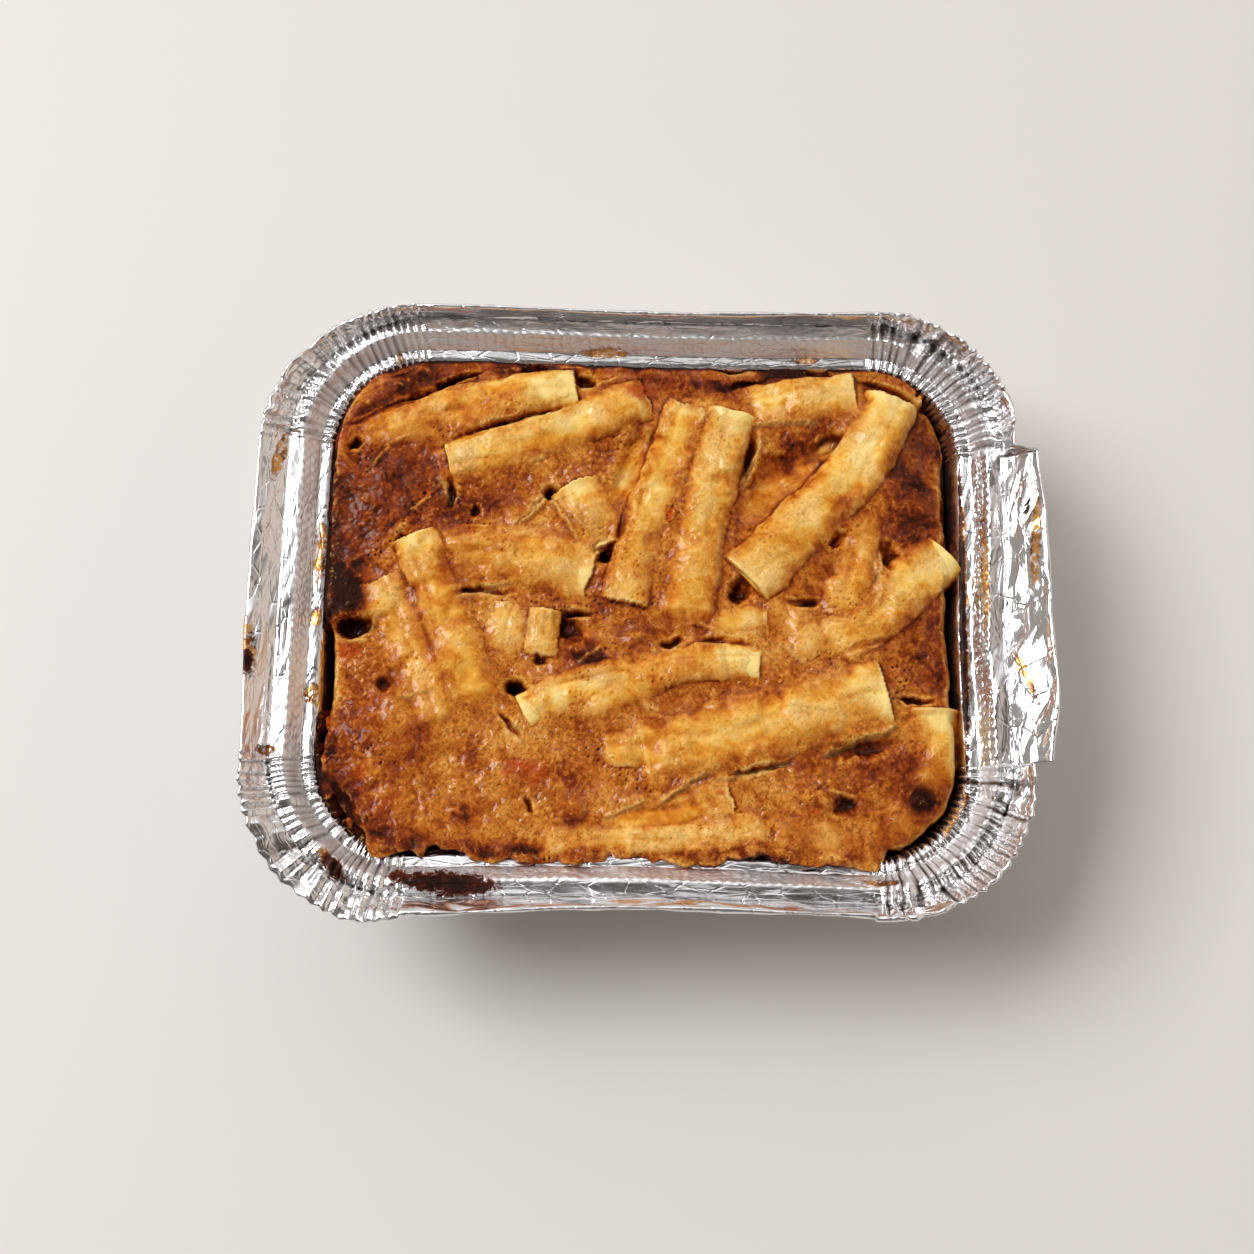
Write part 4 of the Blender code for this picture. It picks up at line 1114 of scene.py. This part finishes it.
# %% The side and the underside of the bake
def border(rows, columns):
    """Numbers of a grid's border points, in order round it, anticlockwise from above."""
    grid = np.arange(rows * columns).reshape(rows, columns)
    return np.concatenate([grid[0, :-1], grid[:-1, -1], grid[-1, :0:-1], grid[:0:-1, 0]])


border_ids = border(ROWS, COLUMNS)
top_ring = crust_points.reshape(-1, 3)[border_ids]
wall_line = np.stack([GX, GY], axis=-1).reshape(-1, 2)[border_ids]
SIDE_SHARE = 0.984
below = np.minimum(top_ring[:, 2] - 0.4, 33.0)[:, None]
drawn_in = SIDE_SHARE - WALL_LEAN * (WALL_END - below) / BAKE_TOP[1]
side_rings = [top_ring, bow(np.hstack([wall_line * drawn_in, below]))]
for z in np.linspace(24.0, BAKE_FLOOR, 6):
    low = between(BAKE_FOOT, BAKE_TOP, (z - BAKE_FLOOR) / (33.2 - BAKE_FLOOR))
    ring = wall_line * SIDE_SHARE * (low[0] / BAKE_TOP[0], low[1] / BAKE_TOP[1])
    side_rings.append(np.column_stack([ring, np.full(len(ring), z)]))
ring_size = len(border_ids)
side_points = np.concatenate(side_rings)
underside = (len(side_rings) - 1) * ring_size + np.arange(ring_size)
side_quads = grid_faces(len(side_rings), ring_size, True)[:, ::-1]
bake_side = make_mesh("bake_side", side_points, side_quads, [underside[::-1]])
side_marks = dict.fromkeys(maps, 0.0)
side_marks.update(brown=0.8, fine=0.5, broad=0.3, flank=1.0, film=1.0)
for key, value in side_marks.items():
    set_attribute(bake_side, key, np.full(len(side_points), value))
print("side faces:", len(bake_side.data.polygons))

# %% [markdown]
# ## The penne that break through
#
# A tube is a ring carried along its line. The ring is a squarish, flattened circle;
# at each end it turns inwards over the cut wall and runs back along the bore, so
# the open mouths are real. All tubes are joined in one mesh, with the same dents as
# the map under which most of each tube lies.

# %% Carry rings along the lines
RING = 36
STATIONS_PER_MM = 1.3
WALL = 1.15
BORE_ROWS = 9


def map_value(field, x, y):
    """The map's value at any place, by straight lines between its four nearest points."""
    v = np.clip((y / BAKE_TOP[1] + 1.0) / 2.0 * (ROWS - 1), 0.0, ROWS - 1.001)
    u = np.clip((x / half_width(y, BAKE_TOP) + 1.0) / 2.0 * (COLUMNS - 1), 0.0, COLUMNS - 1.001)
    i, j = v.astype(int), u.astype(int)
    fv, fu = v - i, u - j
    low = field[i, j] * (1 - fu) + field[i, j + 1] * fu
    high = field[i + 1, j] * (1 - fu) + field[i + 1, j + 1] * fu
    return low * (1 - fv) + high * fv


def rounded_power(value, power):
    """A sine or cosine raised to a power with its sign kept, which squares a circle a little."""
    return np.sign(value) * np.abs(value) ** power


def ring_rows(centre, aside, up, angle, half):
    """Points of flattened rings about a line: aside times cosine, up times sine, both squared off."""
    power = 2.0 / SQUARENESS
    sideways = aside[:, None, :] * (rounded_power(np.cos(angle), power)[None, :] * half)[..., None]
    upward = up[:, None, :] * (rounded_power(np.sin(angle), power)[None, :] * half * FLATNESS)[..., None]
    return centre[:, None, :] + sideways + upward


def one_tube(name, number):
    """Rows of points from inside one bore, over its cut end, along the outside and into the other."""
    length = np.linalg.norm(np.diff(np.array(PENNE[name][0], float), axis=0), axis=1).sum()
    centre, ahead, width, t = tube_line(name, int(length * STATIONS_PER_MM) + 4)
    aside = np.cross(ahead, (0.0, 0.0, 1.0))
    aside = aside / np.linalg.norm(aside, axis=1, keepdims=True)
    up = np.cross(aside, ahead)
    angle = np.linspace(0.0, 2 * math.pi, RING, endpoint=False)
    half = (width / 2)[:, None] * np.ones(RING)
    outside = ring_rows(centre, aside, up, angle, half)
    bore = ring_rows(centre, aside, up, angle, np.maximum(half - WALL, 1.2))
    ends = [0, -1]
    both_ends = 3.0 * number + np.array([[0.0], [40.0]])
    ragged = 0.5 * (noise(angle[None, :] * 2.0, both_ends, 1.0, 94) - 0.5)
    lip = ring_rows(centre[ends], aside[ends], up[ends], angle, half[ends] - 0.25)
    outward = np.stack([-ahead[0], ahead[-1]])[:, None, :]
    lip = lip + outward * (0.22 + ragged)[..., None]
    mouth = bore[ends] + outward * (0.16 + ragged)[..., None]
    outside[ends] += outward * ragged[..., None]
    first_bore, last_bore = bore[1:BORE_ROWS][::-1], bore[-BORE_ROWS:-1][::-1]
    points = np.concatenate([first_bore, mouth[:1], lip[:1], outside, lip[1:], mouth[1:], last_bore])
    across = np.broadcast_to(np.cos(angle), points.shape[:2])
    dents = pasta_dents(points[..., 0], points[..., 1], number, across)
    points[..., 2] += dents * smooth(np.sin(angle) * 2.0 + 0.5)
    t_of_row = np.concatenate([t[1:BORE_ROWS][::-1], t[:1], t[:1], t, t[-1:], t[-1:], t[-BORE_ROWS:-1][::-1]])
    sauce_of_row = read_along(PENNE[name][3], t_of_row)
    points[..., 2] -= (0.35 + 3.4 * smooth((sauce_of_row - 0.2) / 0.4))[:, None]
    return bow(points)


tube_rows = [one_tube(name, number) for number, name in enumerate(PENNE)]
tube_quads, tube_caps, bore_shade = [], [], []
first = 0
for rows_of_tube in tube_rows:
    n = len(rows_of_tube)
    tube_quads.append(grid_faces(n, RING, True, first)[:, ::-1])
    tube_caps += [first + np.arange(RING)[::-1], first + (n - 1) * RING + np.arange(RING)]
    # painted shade inside the bores, darkest deepest in
    painted_shade = np.zeros((n, RING))
    painted_shade[: BORE_ROWS - 1] = np.linspace(1.0, 0.3, BORE_ROWS - 1)[:, None]
    painted_shade[1 - BORE_ROWS :] = np.linspace(0.3, 1.0, BORE_ROWS - 1)[:, None]
    bore_shade.append(painted_shade.ravel())
    first += n * RING
tube_xyz = np.concatenate([r.reshape(-1, 3) for r in tube_rows])
bore_shade = np.concatenate(bore_shade)
penne = make_mesh("penne", tube_xyz, np.concatenate(tube_quads), tube_caps)
tx, ty, tz = tube_xyz.T
raised_by = (tz - map_value(around, tx, ty)) / 4.0
# the bore rows are painted darker and browner: painted shade inside the tubes
tube_marks = {
    "pasta": np.ones(len(tx)),
    "brown": browning_and_shade(tx, ty) + 0.5 * bore_shade,
    "orange": orange_toast(tx, ty),
    "fine": map_value(fine, tx, ty),
    "broad": np.clip(0.5 + raised_by, 0.0, 1.0) * (1.0 - 0.6 * bore_shade),
    "rim": np.zeros(len(tx)),
    "flank": np.tile(np.abs(np.cos(np.linspace(0.0, 2 * math.pi, RING, endpoint=False))), len(tx) // RING),
    "film": map_value(film_share, tx, ty),
    "halo": np.ones(len(tx)),
}
for key, values in tube_marks.items():
    set_attribute(penne, key, values)
print("penne faces:", len(penne.data.polygons))

# %% [markdown]
# ## Camera, floor and light
#
# The photograph looks down at 76 degrees. The camera is placed by its aim, its
# distance and its small roll. A broad lamp high on the left and a little behind
# gives the soft shadow at the lower right; the world fills the rest and is what
# the foil mirrors, so it runs from bright to grey instead of one flat tone.

# %% Place the camera
AIM = Vector((-3.05, -5.69, 37.5)) * MM
DISTANCE = 0.3285
ELEVATION = math.radians(76.0)
ROLL = math.radians(1.11)
HALF_VIEW = math.radians(20.19)

back = Vector((0.0, -math.cos(ELEVATION), math.sin(ELEVATION)))
level_x = Vector((1.0, 0.0, 0.0))
level_y = back.cross(level_x)
camera_x = level_x * math.cos(ROLL) + level_y * math.sin(ROLL)
camera_y = level_y * math.cos(ROLL) - level_x * math.sin(ROLL)
camera_data = bpy.data.cameras.new("camera")
camera_data.lens = camera_data.sensor_width / 2 / math.tan(HALF_VIEW)
camera_data.clip_start = 0.01
camera = bpy.data.objects.new("camera", camera_data)
place = Matrix((camera_x, camera_y, back)).transposed().to_4x4()
place.translation = AIM + back * DISTANCE
camera.matrix_world = place
bpy.context.scene.collection.objects.link(camera)
bpy.context.scene.camera = camera
print("camera at", [round(c, 4) for c in camera.location])

# %% Floor
FLOOR_HALF = 1.5
floor_mesh = bpy.data.meshes.new("floor")
corners_of_floor = [(x * FLOOR_HALF, y * FLOOR_HALF, 0.0) for x, y in ((-1, -1), (1, -1), (1, 1), (-1, 1))]
floor_mesh.from_pydata(corners_of_floor, [], [(0, 1, 2, 3)])
floor = bpy.data.objects.new("floor", floor_mesh)
bpy.context.scene.collection.objects.link(floor)
print("floor faces:", len(floor_mesh.polygons))

# %% Lamps
LAMP_FROM = Vector((-0.71, 0.26, 1.0)).normalized()


def add_lamp(name, direction, distance, size, power, colour):
    """A square area lamp that faces the tray from the given direction."""
    data = bpy.data.lights.new(name, "AREA")
    data.size = size
    data.energy = power
    data.color = colour
    lamp = bpy.data.objects.new(name, data)
    lamp.location = direction.normalized() * distance
    lamp.rotation_euler = direction.to_track_quat("Z", "Y").to_euler()
    bpy.context.scene.collection.objects.link(lamp)


LAMP_DISTANCE, LAMP_SIZE, LAMP_WATTS, LAMP_COLOUR = 2.2, 1.1, 41.0, (0.98, 0.985, 1.0)
add_lamp("window", LAMP_FROM, LAMP_DISTANCE, LAMP_SIZE, LAMP_WATTS, LAMP_COLOUR)
print("lamp towards", [round(c, 2) for c in LAMP_FROM])

# %% [markdown]
# ## Materials as expressions
#
# A shader graph is arithmetic on sockets. One small class wraps a socket and
# overloads the operators, so `1 - mask * 0.5` adds its Math nodes by itself.
# Everything else, such as a noise texture or a colour mix, comes from one method
# that takes a node's type, its settings, and the values or links of its sockets.

# %% The graph builder
class Wire:
    """A socket that can be used in Python expressions."""

    def __init__(self, graph, socket):
        self.graph = graph
        self.socket = socket

    def maths(self, operation, a, b=None):
        values = {0: a} if b is None else {0: a, 1: b}
        return self.graph.node("ShaderNodeMath", {"operation": operation}, values)

    def __add__(self, other):
        return self.maths("ADD", self, other)

    __radd__ = __add__

    def __mul__(self, other):
        return self.maths("MULTIPLY", self, other)

    __rmul__ = __mul__

    def __sub__(self, other):
        return self.maths("SUBTRACT", self, other)

    def __rsub__(self, other):
        return self.maths("SUBTRACT", other, self)

    def __pow__(self, other):
        return self.maths("POWER", self, other)

    def clamp(self):
        return self.maths("MINIMUM", self.maths("MAXIMUM", self, 0.0), 1.0)

    def step(self, low, high):
        """0 below `low`, 1 above `high`, an S-curve between; `low` may be above `high`."""
        settings = {"interpolation_type": "SMOOTHSTEP"}
        if low > high:
            return 1.0 - self.step(high, low)
        return self.graph.node("ShaderNodeMapRange", settings, {"Value": self, 1: low, 2: high})


class Graph:
    """The node tree of one material, with its Principled shader."""

    def __init__(self, name):
        self.material = bpy.data.materials.new(name)
        self.material.use_nodes = True
        self.tree = self.material.node_tree
        self.shader = self.tree.nodes["Principled BSDF"]
        self.place = self.node("ShaderNodeTexCoord", {}, {}, "Object")

    def node(self, kind, settings, values, output=0):
        """Adds a node, sets its settings, then its sockets, and returns one output."""
        made = self.tree.nodes.new(kind)
        for key, value in settings.items():
            if key == "stops":
                self.fill_ramp(made.color_ramp.elements, value)
            else:
                setattr(made, key, value)
        for key, value in values.items():
            self.feed(made.inputs[key], value)
        return Wire(self, made.outputs[output])

    def fill_ramp(self, elements, stops):
        while len(elements) < len(stops):
            elements.new(1.0)
        for element, (place, colour) in zip(elements, stops):
            element.position = place
            element.color = colour

    def feed(self, socket, value):
        if isinstance(value, Wire):
            self.tree.links.new(value.socket, socket)
        elif value is not None:
            socket.default_value = value

    def set(self, **values):
        """Sets or links sockets of the Principled shader; an underscore stands for a space."""
        for key, value in values.items():
            self.feed(self.shader.inputs[key.replace("_", " ")], value)

    def noise(self, size_mm, detail=3.0, roughness=0.55, distortion=0.0):
        """Noise of about this grain, from 0 to 1, on the object's own coordinates."""
        values = {"Vector": self.place, "Scale": 1.0 / (size_mm * MM)}
        values.update({"Detail": detail, "Roughness": roughness, "Distortion": distortion})
        return self.node("ShaderNodeTexNoise", {}, values)

    def voronoi(self, size_mm):
        """Distance to the nearest point of a scatter with this spacing."""
        values = {"Vector": self.place, "Scale": 1.0 / (size_mm * MM)}
        return self.node("ShaderNodeTexVoronoi", {}, values, "Distance")

    def texture(self, kind, where, feature=None, **values):
        """A noise or Voronoi texture on the given coordinates."""
        values["Vector"] = where
        if feature is None:
            return self.node(kind, {}, values)
        return self.node(kind, {"feature": feature}, values, "Distance")

    def ragged_spots(self, table, lowest_mm):
        """0 to 1: ragged spots at the places of the table, seen from above, and none below a height."""
        parts = self.tree.nodes.new("ShaderNodeSeparateXYZ")
        self.tree.links.new(self.place.socket, parts.inputs[0])
        x, y = Wire(self, parts.outputs[0]) * 1000.0, Wire(self, parts.outputs[1]) * 1000.0
        ragged = (self.noise(1.8, 5.0, 0.75, 0.8) - 0.5) * 5.0
        total = None
        for place_x, place_y, reach_x, reach_y, degrees in table:
            c, s = math.cos(math.radians(degrees)), math.sin(math.radians(degrees))
            along = ((x - place_x) * c + (y - place_y) * s) * (1.0 / reach_x)
            across = ((y - place_y) * c - (x - place_x) * s) * (1.0 / reach_y)
            spot = (1.0 - (along * along + across * across) * 0.5 + ragged * 0.5).clamp()
            total = spot if total is None else total.maths("MAXIMUM", total, spot)
        return total * Wire(self, parts.outputs[2]).step(lowest_mm * MM, (lowest_mm + 0.5) * MM)

    def attribute(self, name):
        return self.node("ShaderNodeAttribute", {"attribute_name": name}, {}, "Fac")

    def mix(self, factor, a, b):
        """Colour a where the factor is 0, b where it is 1."""
        values = {0: factor, 6: a, 7: b}
        return self.node("ShaderNodeMix", {"data_type": "RGBA"}, values, 2)

    def ramp(self, factor, stops):
        """A colour for each value: `stops` are pairs of place and colour."""
        return self.node("ShaderNodeValToRGB", {"stops": stops}, {0: factor})

    def bump(self, height, strength, distance_mm, below=None):
        values = {"Height": height, "Strength": strength, "Distance": distance_mm * MM, "Normal": below}
        return self.node("ShaderNodeBump", {}, values)


def srgb(red, green, blue):
    """A screen colour, 0 to 255, as the linear colour that a shader takes."""
    c = np.array([red, green, blue]) / 255.0
    linear = np.where(c <= 0.04045, c / 12.92, ((c + 0.055) / 1.055) ** 2.4)
    return (*linear.tolist(), 1.0)


print("mid grey on the screen is", round(srgb(128, 128, 128)[0], 3), "for a shader")

# %% Plain finish of the floor
FLOOR_COLOUR = srgb(224, 220, 216)


def floor_finish():
    """Pale and dull."""
    g = Graph("floor_finish")
    g.set(Base_Color=FLOOR_COLOUR, Roughness=0.6)
    return g.material


floor.data.materials.append(floor_finish())
print("floor:", 2 * FLOOR_HALF, "m wide")

# %% Finish of the foil
# x, y, reach in x and in y, turn in degrees, all in mm: where sauce has run and baked on; the long strip at
# (62.6, 0) along the right wall's top is a painted reflection of the food
STAINS_AND_REFLECTION = [
    (-63.4, 9.0, 1.2, 6.0, 0), (-63.6, -4.0, 1.0, 2.4, 0), (-63.6, -19.5, 1.2, 2.6, 0),
    (-72.0, 27.5, 0.9, 5.0, -10), (-75.2, -11.8, 1.4, 5.4, 6), (32.0, 51.3, 2.2, 0.8, 0),
    (-56.8, -52.6, 1.4, 3.6, 40), (-44.0, -54.0, 2.6, 1.2, 10), (-70.6, -31.0, 1.6, 1.0, 0),
    (57.5, 40.0, 2.0, 6.0, 40), (61.0, 30.0, 1.4, 9.0, 8), (62.6, 0.0, 0.9, 26.0, 0),
    (66.5, 8.0, 0.6, 12.0, 0), (75.6, 12.0, 0.8, 9.0, -4), (54.0, 44.5, 3.2, 1.6, -40),
    (60.0, -40.0, 0.9, 5.0, -30), (-50.0, 50.0, 0.6, 1.2, 0), (-8.0, 52.0, 5.0, 0.8, 0),
    (73.0, -14.0, 0.7, 5.0, 20), (45.0, -53.6, 3.4, 0.6, 0),
]
# charred sauce, and at (62.3, 0) a long dark strip along the right wall's top that paints the food's dark
# reflection there
BURNT_STAINS_AND_REFLECTION = [
    (-36.0, -55.2, 9.0, 2.1, -4), (-56.8, -52.8, 1.2, 2.6, 40), (-75.0, -14.5, 0.9, 1.8, 6),
    (54.6, 44.0, 2.2, 0.8, -40), (62.3, 0.0, 0.7, 32.0, 0),
]


AMBER_STOPS = [(0.0, srgb(70, 32, 14)), (0.12, srgb(136, 76, 30)), (0.34, srgb(204, 150, 84))]
CHARRED_STOPS = [(0.35, srgb(150, 80, 24)), (0.55, srgb(80, 32, 10)), (0.85, srgb(30, 10, 4))]
# the second colour paints shade and dark reflection into the pleats' valleys
BRIGHT_FOIL, VALLEY_SHADE_COLOUR = srgb(238, 237, 238), srgb(104, 82, 66)
STAINS_FROM = 33.6


def foil_finish():
    """Bright metal with long rolling lines and small creases, with shade and dark reflection painted into the
    pleats' valleys, under baked-on sauce and a painted reflection of the food along the right wall's top.
    """
    g = Graph("foil_finish")
    along, up = g.attribute("way"), g.attribute("up")
    flat = g.node("ShaderNodeCombineXYZ", {}, {0: along * 0.16, 1: up * 0.9, 2: along * 0.05})
    slanted = g.node("ShaderNodeCombineXYZ", {}, {0: along * 0.35 + up * 0.3, 1: up * 0.8 - along * 0.2})
    long_lines = g.texture("ShaderNodeTexNoise", flat, Scale=1.0, Detail=5.0, Roughness=0.65)
    creases = g.texture("ShaderNodeTexVoronoi", flat, "DISTANCE_TO_EDGE", Scale=0.55).step(0.0, 0.10)
    knocks = g.texture("ShaderNodeTexVoronoi", slanted, "DISTANCE_TO_EDGE", Scale=0.42).step(0.0, 0.07)
    riser = g.attribute("riser")
    height = creases * 0.5 + knocks * 0.6 + long_lines * 1.1
    normal = g.bump(g.noise(0.35, 2.0, 0.5), 0.08, 0.04, g.bump(height, 0.55, 0.14))
    # baked-on sauce, and the painted reflection of the food along the right wall's top
    burnt_and_reflection = g.ragged_spots(BURNT_STAINS_AND_REFLECTION, STAINS_FROM)
    stain_and_reflection = g.ragged_spots(STAINS_AND_REFLECTION, STAINS_FROM)
    tone = g.noise(3.2, 2.0, 0.5)
    depth = (stain_and_reflection - 0.25).clamp() * 0.45 + (0.5 - tone) * 1.3 + 0.04
    amber = g.ramp(depth, AMBER_STOPS)
    charred = g.ramp(burnt_and_reflection * 0.6 + tone * 0.6, CHARRED_STOPS)
    # the colour of the sauce stains and of the painted reflection strip
    sauce = g.mix(burnt_and_reflection.step(0.10, 0.3), amber, charred)
    soiled_and_reflecting = (stain_and_reflection.step(0.25, 0.6) * g.noise(1.1, 3.0, 0.7).step(0.30, 0.52) + burnt_and_reflection.step(0.2, 0.5)).clamp()
    metal = 1.0 - stain_and_reflection.step(0.25, 0.6) * 0.5 - burnt_and_reflection.step(0.2, 0.5) * 0.8
    # painted shade and dark reflection in the pleats' valleys
    painted_valley_shade = g.attribute("fold") * (0.35 + tone * 0.9).clamp()
    clean = g.mix(painted_valley_shade, BRIGHT_FOIL, VALLEY_SHADE_COLOUR)
    colour = g.mix(soiled_and_reflecting, clean, sauce)
    roughness = long_lines * 0.20 + 0.13 + riser * 0.25 + burnt_and_reflection * 0.2
    g.set(Base_Color=colour, Metallic=metal.clamp(), Roughness=roughness, Normal=normal)
    g.set(Specular_IOR_Level=0.15)
    return g.material


foil_material = foil_finish()
for piece in (foil_rim, foil_lip, foil_body):
    piece.data.materials.append(foil_material)
    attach(piece, "root")
    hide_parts("foil_tray")
print("foil finish:", len(foil_material.node_tree.nodes), "nodes")

# %% [markdown]
# ## The finish of the bake
#
# Crust and pasta share one material, so no border shows where one runs into the
# other. The maps on the points say where it is pasta, brown, toasted or torn, and
# how much shade to paint into hollows; the shader adds what is finer than the mesh.
# Pasta is painted pale on its crown and amber down its flanks, a painted highlight
# and shade across each tube. Light sinks into both and comes out warmer, which is a
# constant subsurface amount, and the oil on top is a thin clear coat.

# %% Finish of the bake
CRUST_STOPS = [
    (0.00, srgb(240, 190, 110)), (0.15, srgb(230, 164, 74)), (0.32, srgb(213, 133, 44)),
    (0.46, srgb(190, 103, 26)), (0.60, srgb(158, 70, 12)), (0.74, srgb(120, 44, 6)),
    (0.87, srgb(80, 25, 3)), (1.00, srgb(42, 11, 1)),
]
PASTA_STOPS = [
    (0.00, srgb(252, 220, 140)), (0.20, srgb(246, 202, 104)), (0.40, srgb(234, 168, 58)),
    (0.60, srgb(210, 124, 24)), (0.80, srgb(170, 78, 11)), (1.00, srgb(106, 38, 6)),
]


# the last colour paints shade into the pits
TOAST, THREAD, CRACK, PIT_SHADE = srgb(188, 72, 14), srgb(234, 180, 98), srgb(104, 40, 8), srgb(120, 50, 14)


def bake_finish():
    """Crust and pasta, mixed by the maps, with toasted spots, pale threads, cracks and pits, oiled; shade is
    painted into hollows, pits and down the pasta's flanks, and highlight on its crowns.
    """
    g = Graph("bake_finish")
    names = ("pasta", "brown", "orange", "fine", "broad", "rim", "flank", "film", "halo")
    pasta, brown, orange, fine, broad, rim, flank, film, halo = (g.attribute(name) for name in names)
    speckle = g.noise(0.8, 4.0, 0.65)
    blotch = g.noise(3.4, 3.0, 0.6, 0.6)
    cloud = g.noise(11.0, 2.0, 0.5)
    crust_level = brown + 0.08 - halo * 0.34 + (blotch - 0.5) * 0.80 + (speckle - 0.5) * 0.42
    # painted shade: the crust is darker where it lies low
    crust_level = crust_level - (fine - 0.5) * 0.62 - (broad - 0.5) * 0.40
    crust = g.ramp(crust_level, CRUST_STOPS)
    # painted highlight and shade: pale on the crown, amber down the flanks, darker where low
    pasta_level = flank**2.0 * 0.50 + film * 0.42 - 0.04 + (brown - BROWN_GROUND) * 0.6
    pasta_level = pasta_level + (blotch - 0.5) * 0.95
    pasta_level = pasta_level + (cloud - 0.5) * 0.7
    pasta_level = pasta_level - (fine - 0.5) * 0.55 + (speckle - 0.5) * 0.22 - (broad - 0.5) * 0.3
    pasta_colour = g.ramp(pasta_level, PASTA_STOPS)
    where = (pasta * 0.6 + halo * 0.5 + (speckle - 0.5) * 0.3 + (blotch - 0.5) * 0.7).step(0.15, 0.95)
    colour = g.mix(where, crust, pasta_colour)
    toast = (orange + (speckle - 0.5) * 0.8 * orange).step(0.25, 0.9)
    colour = g.mix(toast * 0.85, colour, TOAST)
    threads = g.noise(1.0, 3.0, 0.6, 1.2)
    lace = threads.step(0.54, 0.66) * fine.step(0.50, 0.80)
    colour = g.mix((lace * 0.5 + rim * 0.6).clamp(), colour, THREAD)
    cracks = g.noise(1.0, 4.0, 0.7, 1.8).step(0.46, 0.36) * (1.0 - pasta * 0.85)
    colour = g.mix(cracks * 0.5, colour, CRACK)
    # painted shade: the pits are coloured dark
    holes = g.voronoi(2.1).step(0.11, 0.06) * g.noise(4.0, 1.0).step(0.62, 0.70)
    holes = holes * (1.0 - pasta * 0.7)
    colour = g.mix(holes * 0.6, colour, PIT_SHADE)
    folds = g.noise(1.9, 4.0, 0.66, 2.2)
    wet = g.noise(4.0, 3.0, 0.6).step(0.44, 0.58)
    relief = speckle * 0.38 + folds * 0.9 - holes * 0.3 - cracks * 0.25
    strength = 0.32 + (1.0 - pasta) * 0.68
    normal = g.bump(relief * strength, 1.0, 0.5)
    g.set(Base_Color=colour, Roughness=0.55 - wet * 0.2, Normal=normal)
    g.set(Coat_Weight=wet * (1.0 - brown * 1.15).clamp() * 0.95, Coat_Roughness=0.06, Coat_IOR=1.48)
    g.set(Subsurface_Weight=0.2, Subsurface_Scale=0.0015, Subsurface_Radius=(1.0, 0.4, 0.12))
    g.set(Specular_IOR_Level=0.12)
    return g.material


bake_material = bake_finish()
for piece in (crust_left, crust_right, bake_side, penne):
    piece.data.materials.append(bake_material)
    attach(piece, "root")
    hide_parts("pasta_bake")
print("bake finish:", len(bake_material.node_tree.nodes), "nodes")

# %% The room's light
# direction, cosines at which the glow starts and is full, and its colour with its strength in it
ROOM_BASE = (0.058, 0.045, 0.033)
ROOM_GLOWS = [
    ((1.0, 0.2, 0.25), 0.60, 0.97, (0.66, 0.57, 0.50)),
    ((-1.0, 0.3, 0.5), 0.50, 0.97, (0.26, 0.25, 0.24)),
    ((0.0, 1.0, 0.45), 0.60, 0.97, (0.60, 0.58, 0.57)),
    ((0.0, -1.0, 0.22), 0.88, 0.99, (0.58, 0.54, 0.51)),
    ((0.65, -0.55, 0.5), 0.82, 0.97, (0.30, 0.29, 0.28)),
    ((0.0, -0.51, 0.86), 0.95, 0.99, (0.15, 0.15, 0.15)),
    ((0.0, 0.62, 1.0), 0.88, 0.98, (0.66, 0.66, 0.68)),
]
bpy.context.scene.view_settings.view_transform = "Standard"
world = bpy.data.worlds.new("room")
bpy.context.scene.world = world
world.use_nodes = True
tree = world.node_tree
ways = tree.nodes.new("ShaderNodeTexCoord")


def world_node(kind, links, **settings):
    """Adds a node to the world, with settings, and with links or values for its inputs."""
    made = tree.nodes.new(kind)
    for key, value in settings.items():
        setattr(made, key, value)
    for key, value in links.items():
        if isinstance(value, bpy.types.NodeSocket):
            tree.links.new(value, made.inputs[key])
        else:
            made.inputs[key].default_value = value
    return made.outputs["Value" if settings.get("operation") == "DOT_PRODUCT" else 0]


light = ROOM_BASE
for direction_of_glow, start, full, colour in ROOM_GLOWS:
    towards = tuple(Vector(direction_of_glow).normalized())
    pair = {0: ways.outputs["Generated"], 1: towards}
    cosine = world_node("ShaderNodeVectorMath", pair, operation="DOT_PRODUCT")
    share = world_node("ShaderNodeMapRange", {0: cosine, 1: start, 2: full}, interpolation_type="SMOOTHSTEP")
    glow = world_node("ShaderNodeVectorMath", {0: colour, 1: share}, operation="MULTIPLY")
    light = world_node("ShaderNodeVectorMath", {0: glow, 1: light}, operation="ADD")
tree.links.new(light, tree.nodes["Background"].inputs["Color"])
print("the room has", len(ROOM_GLOWS), "glows")
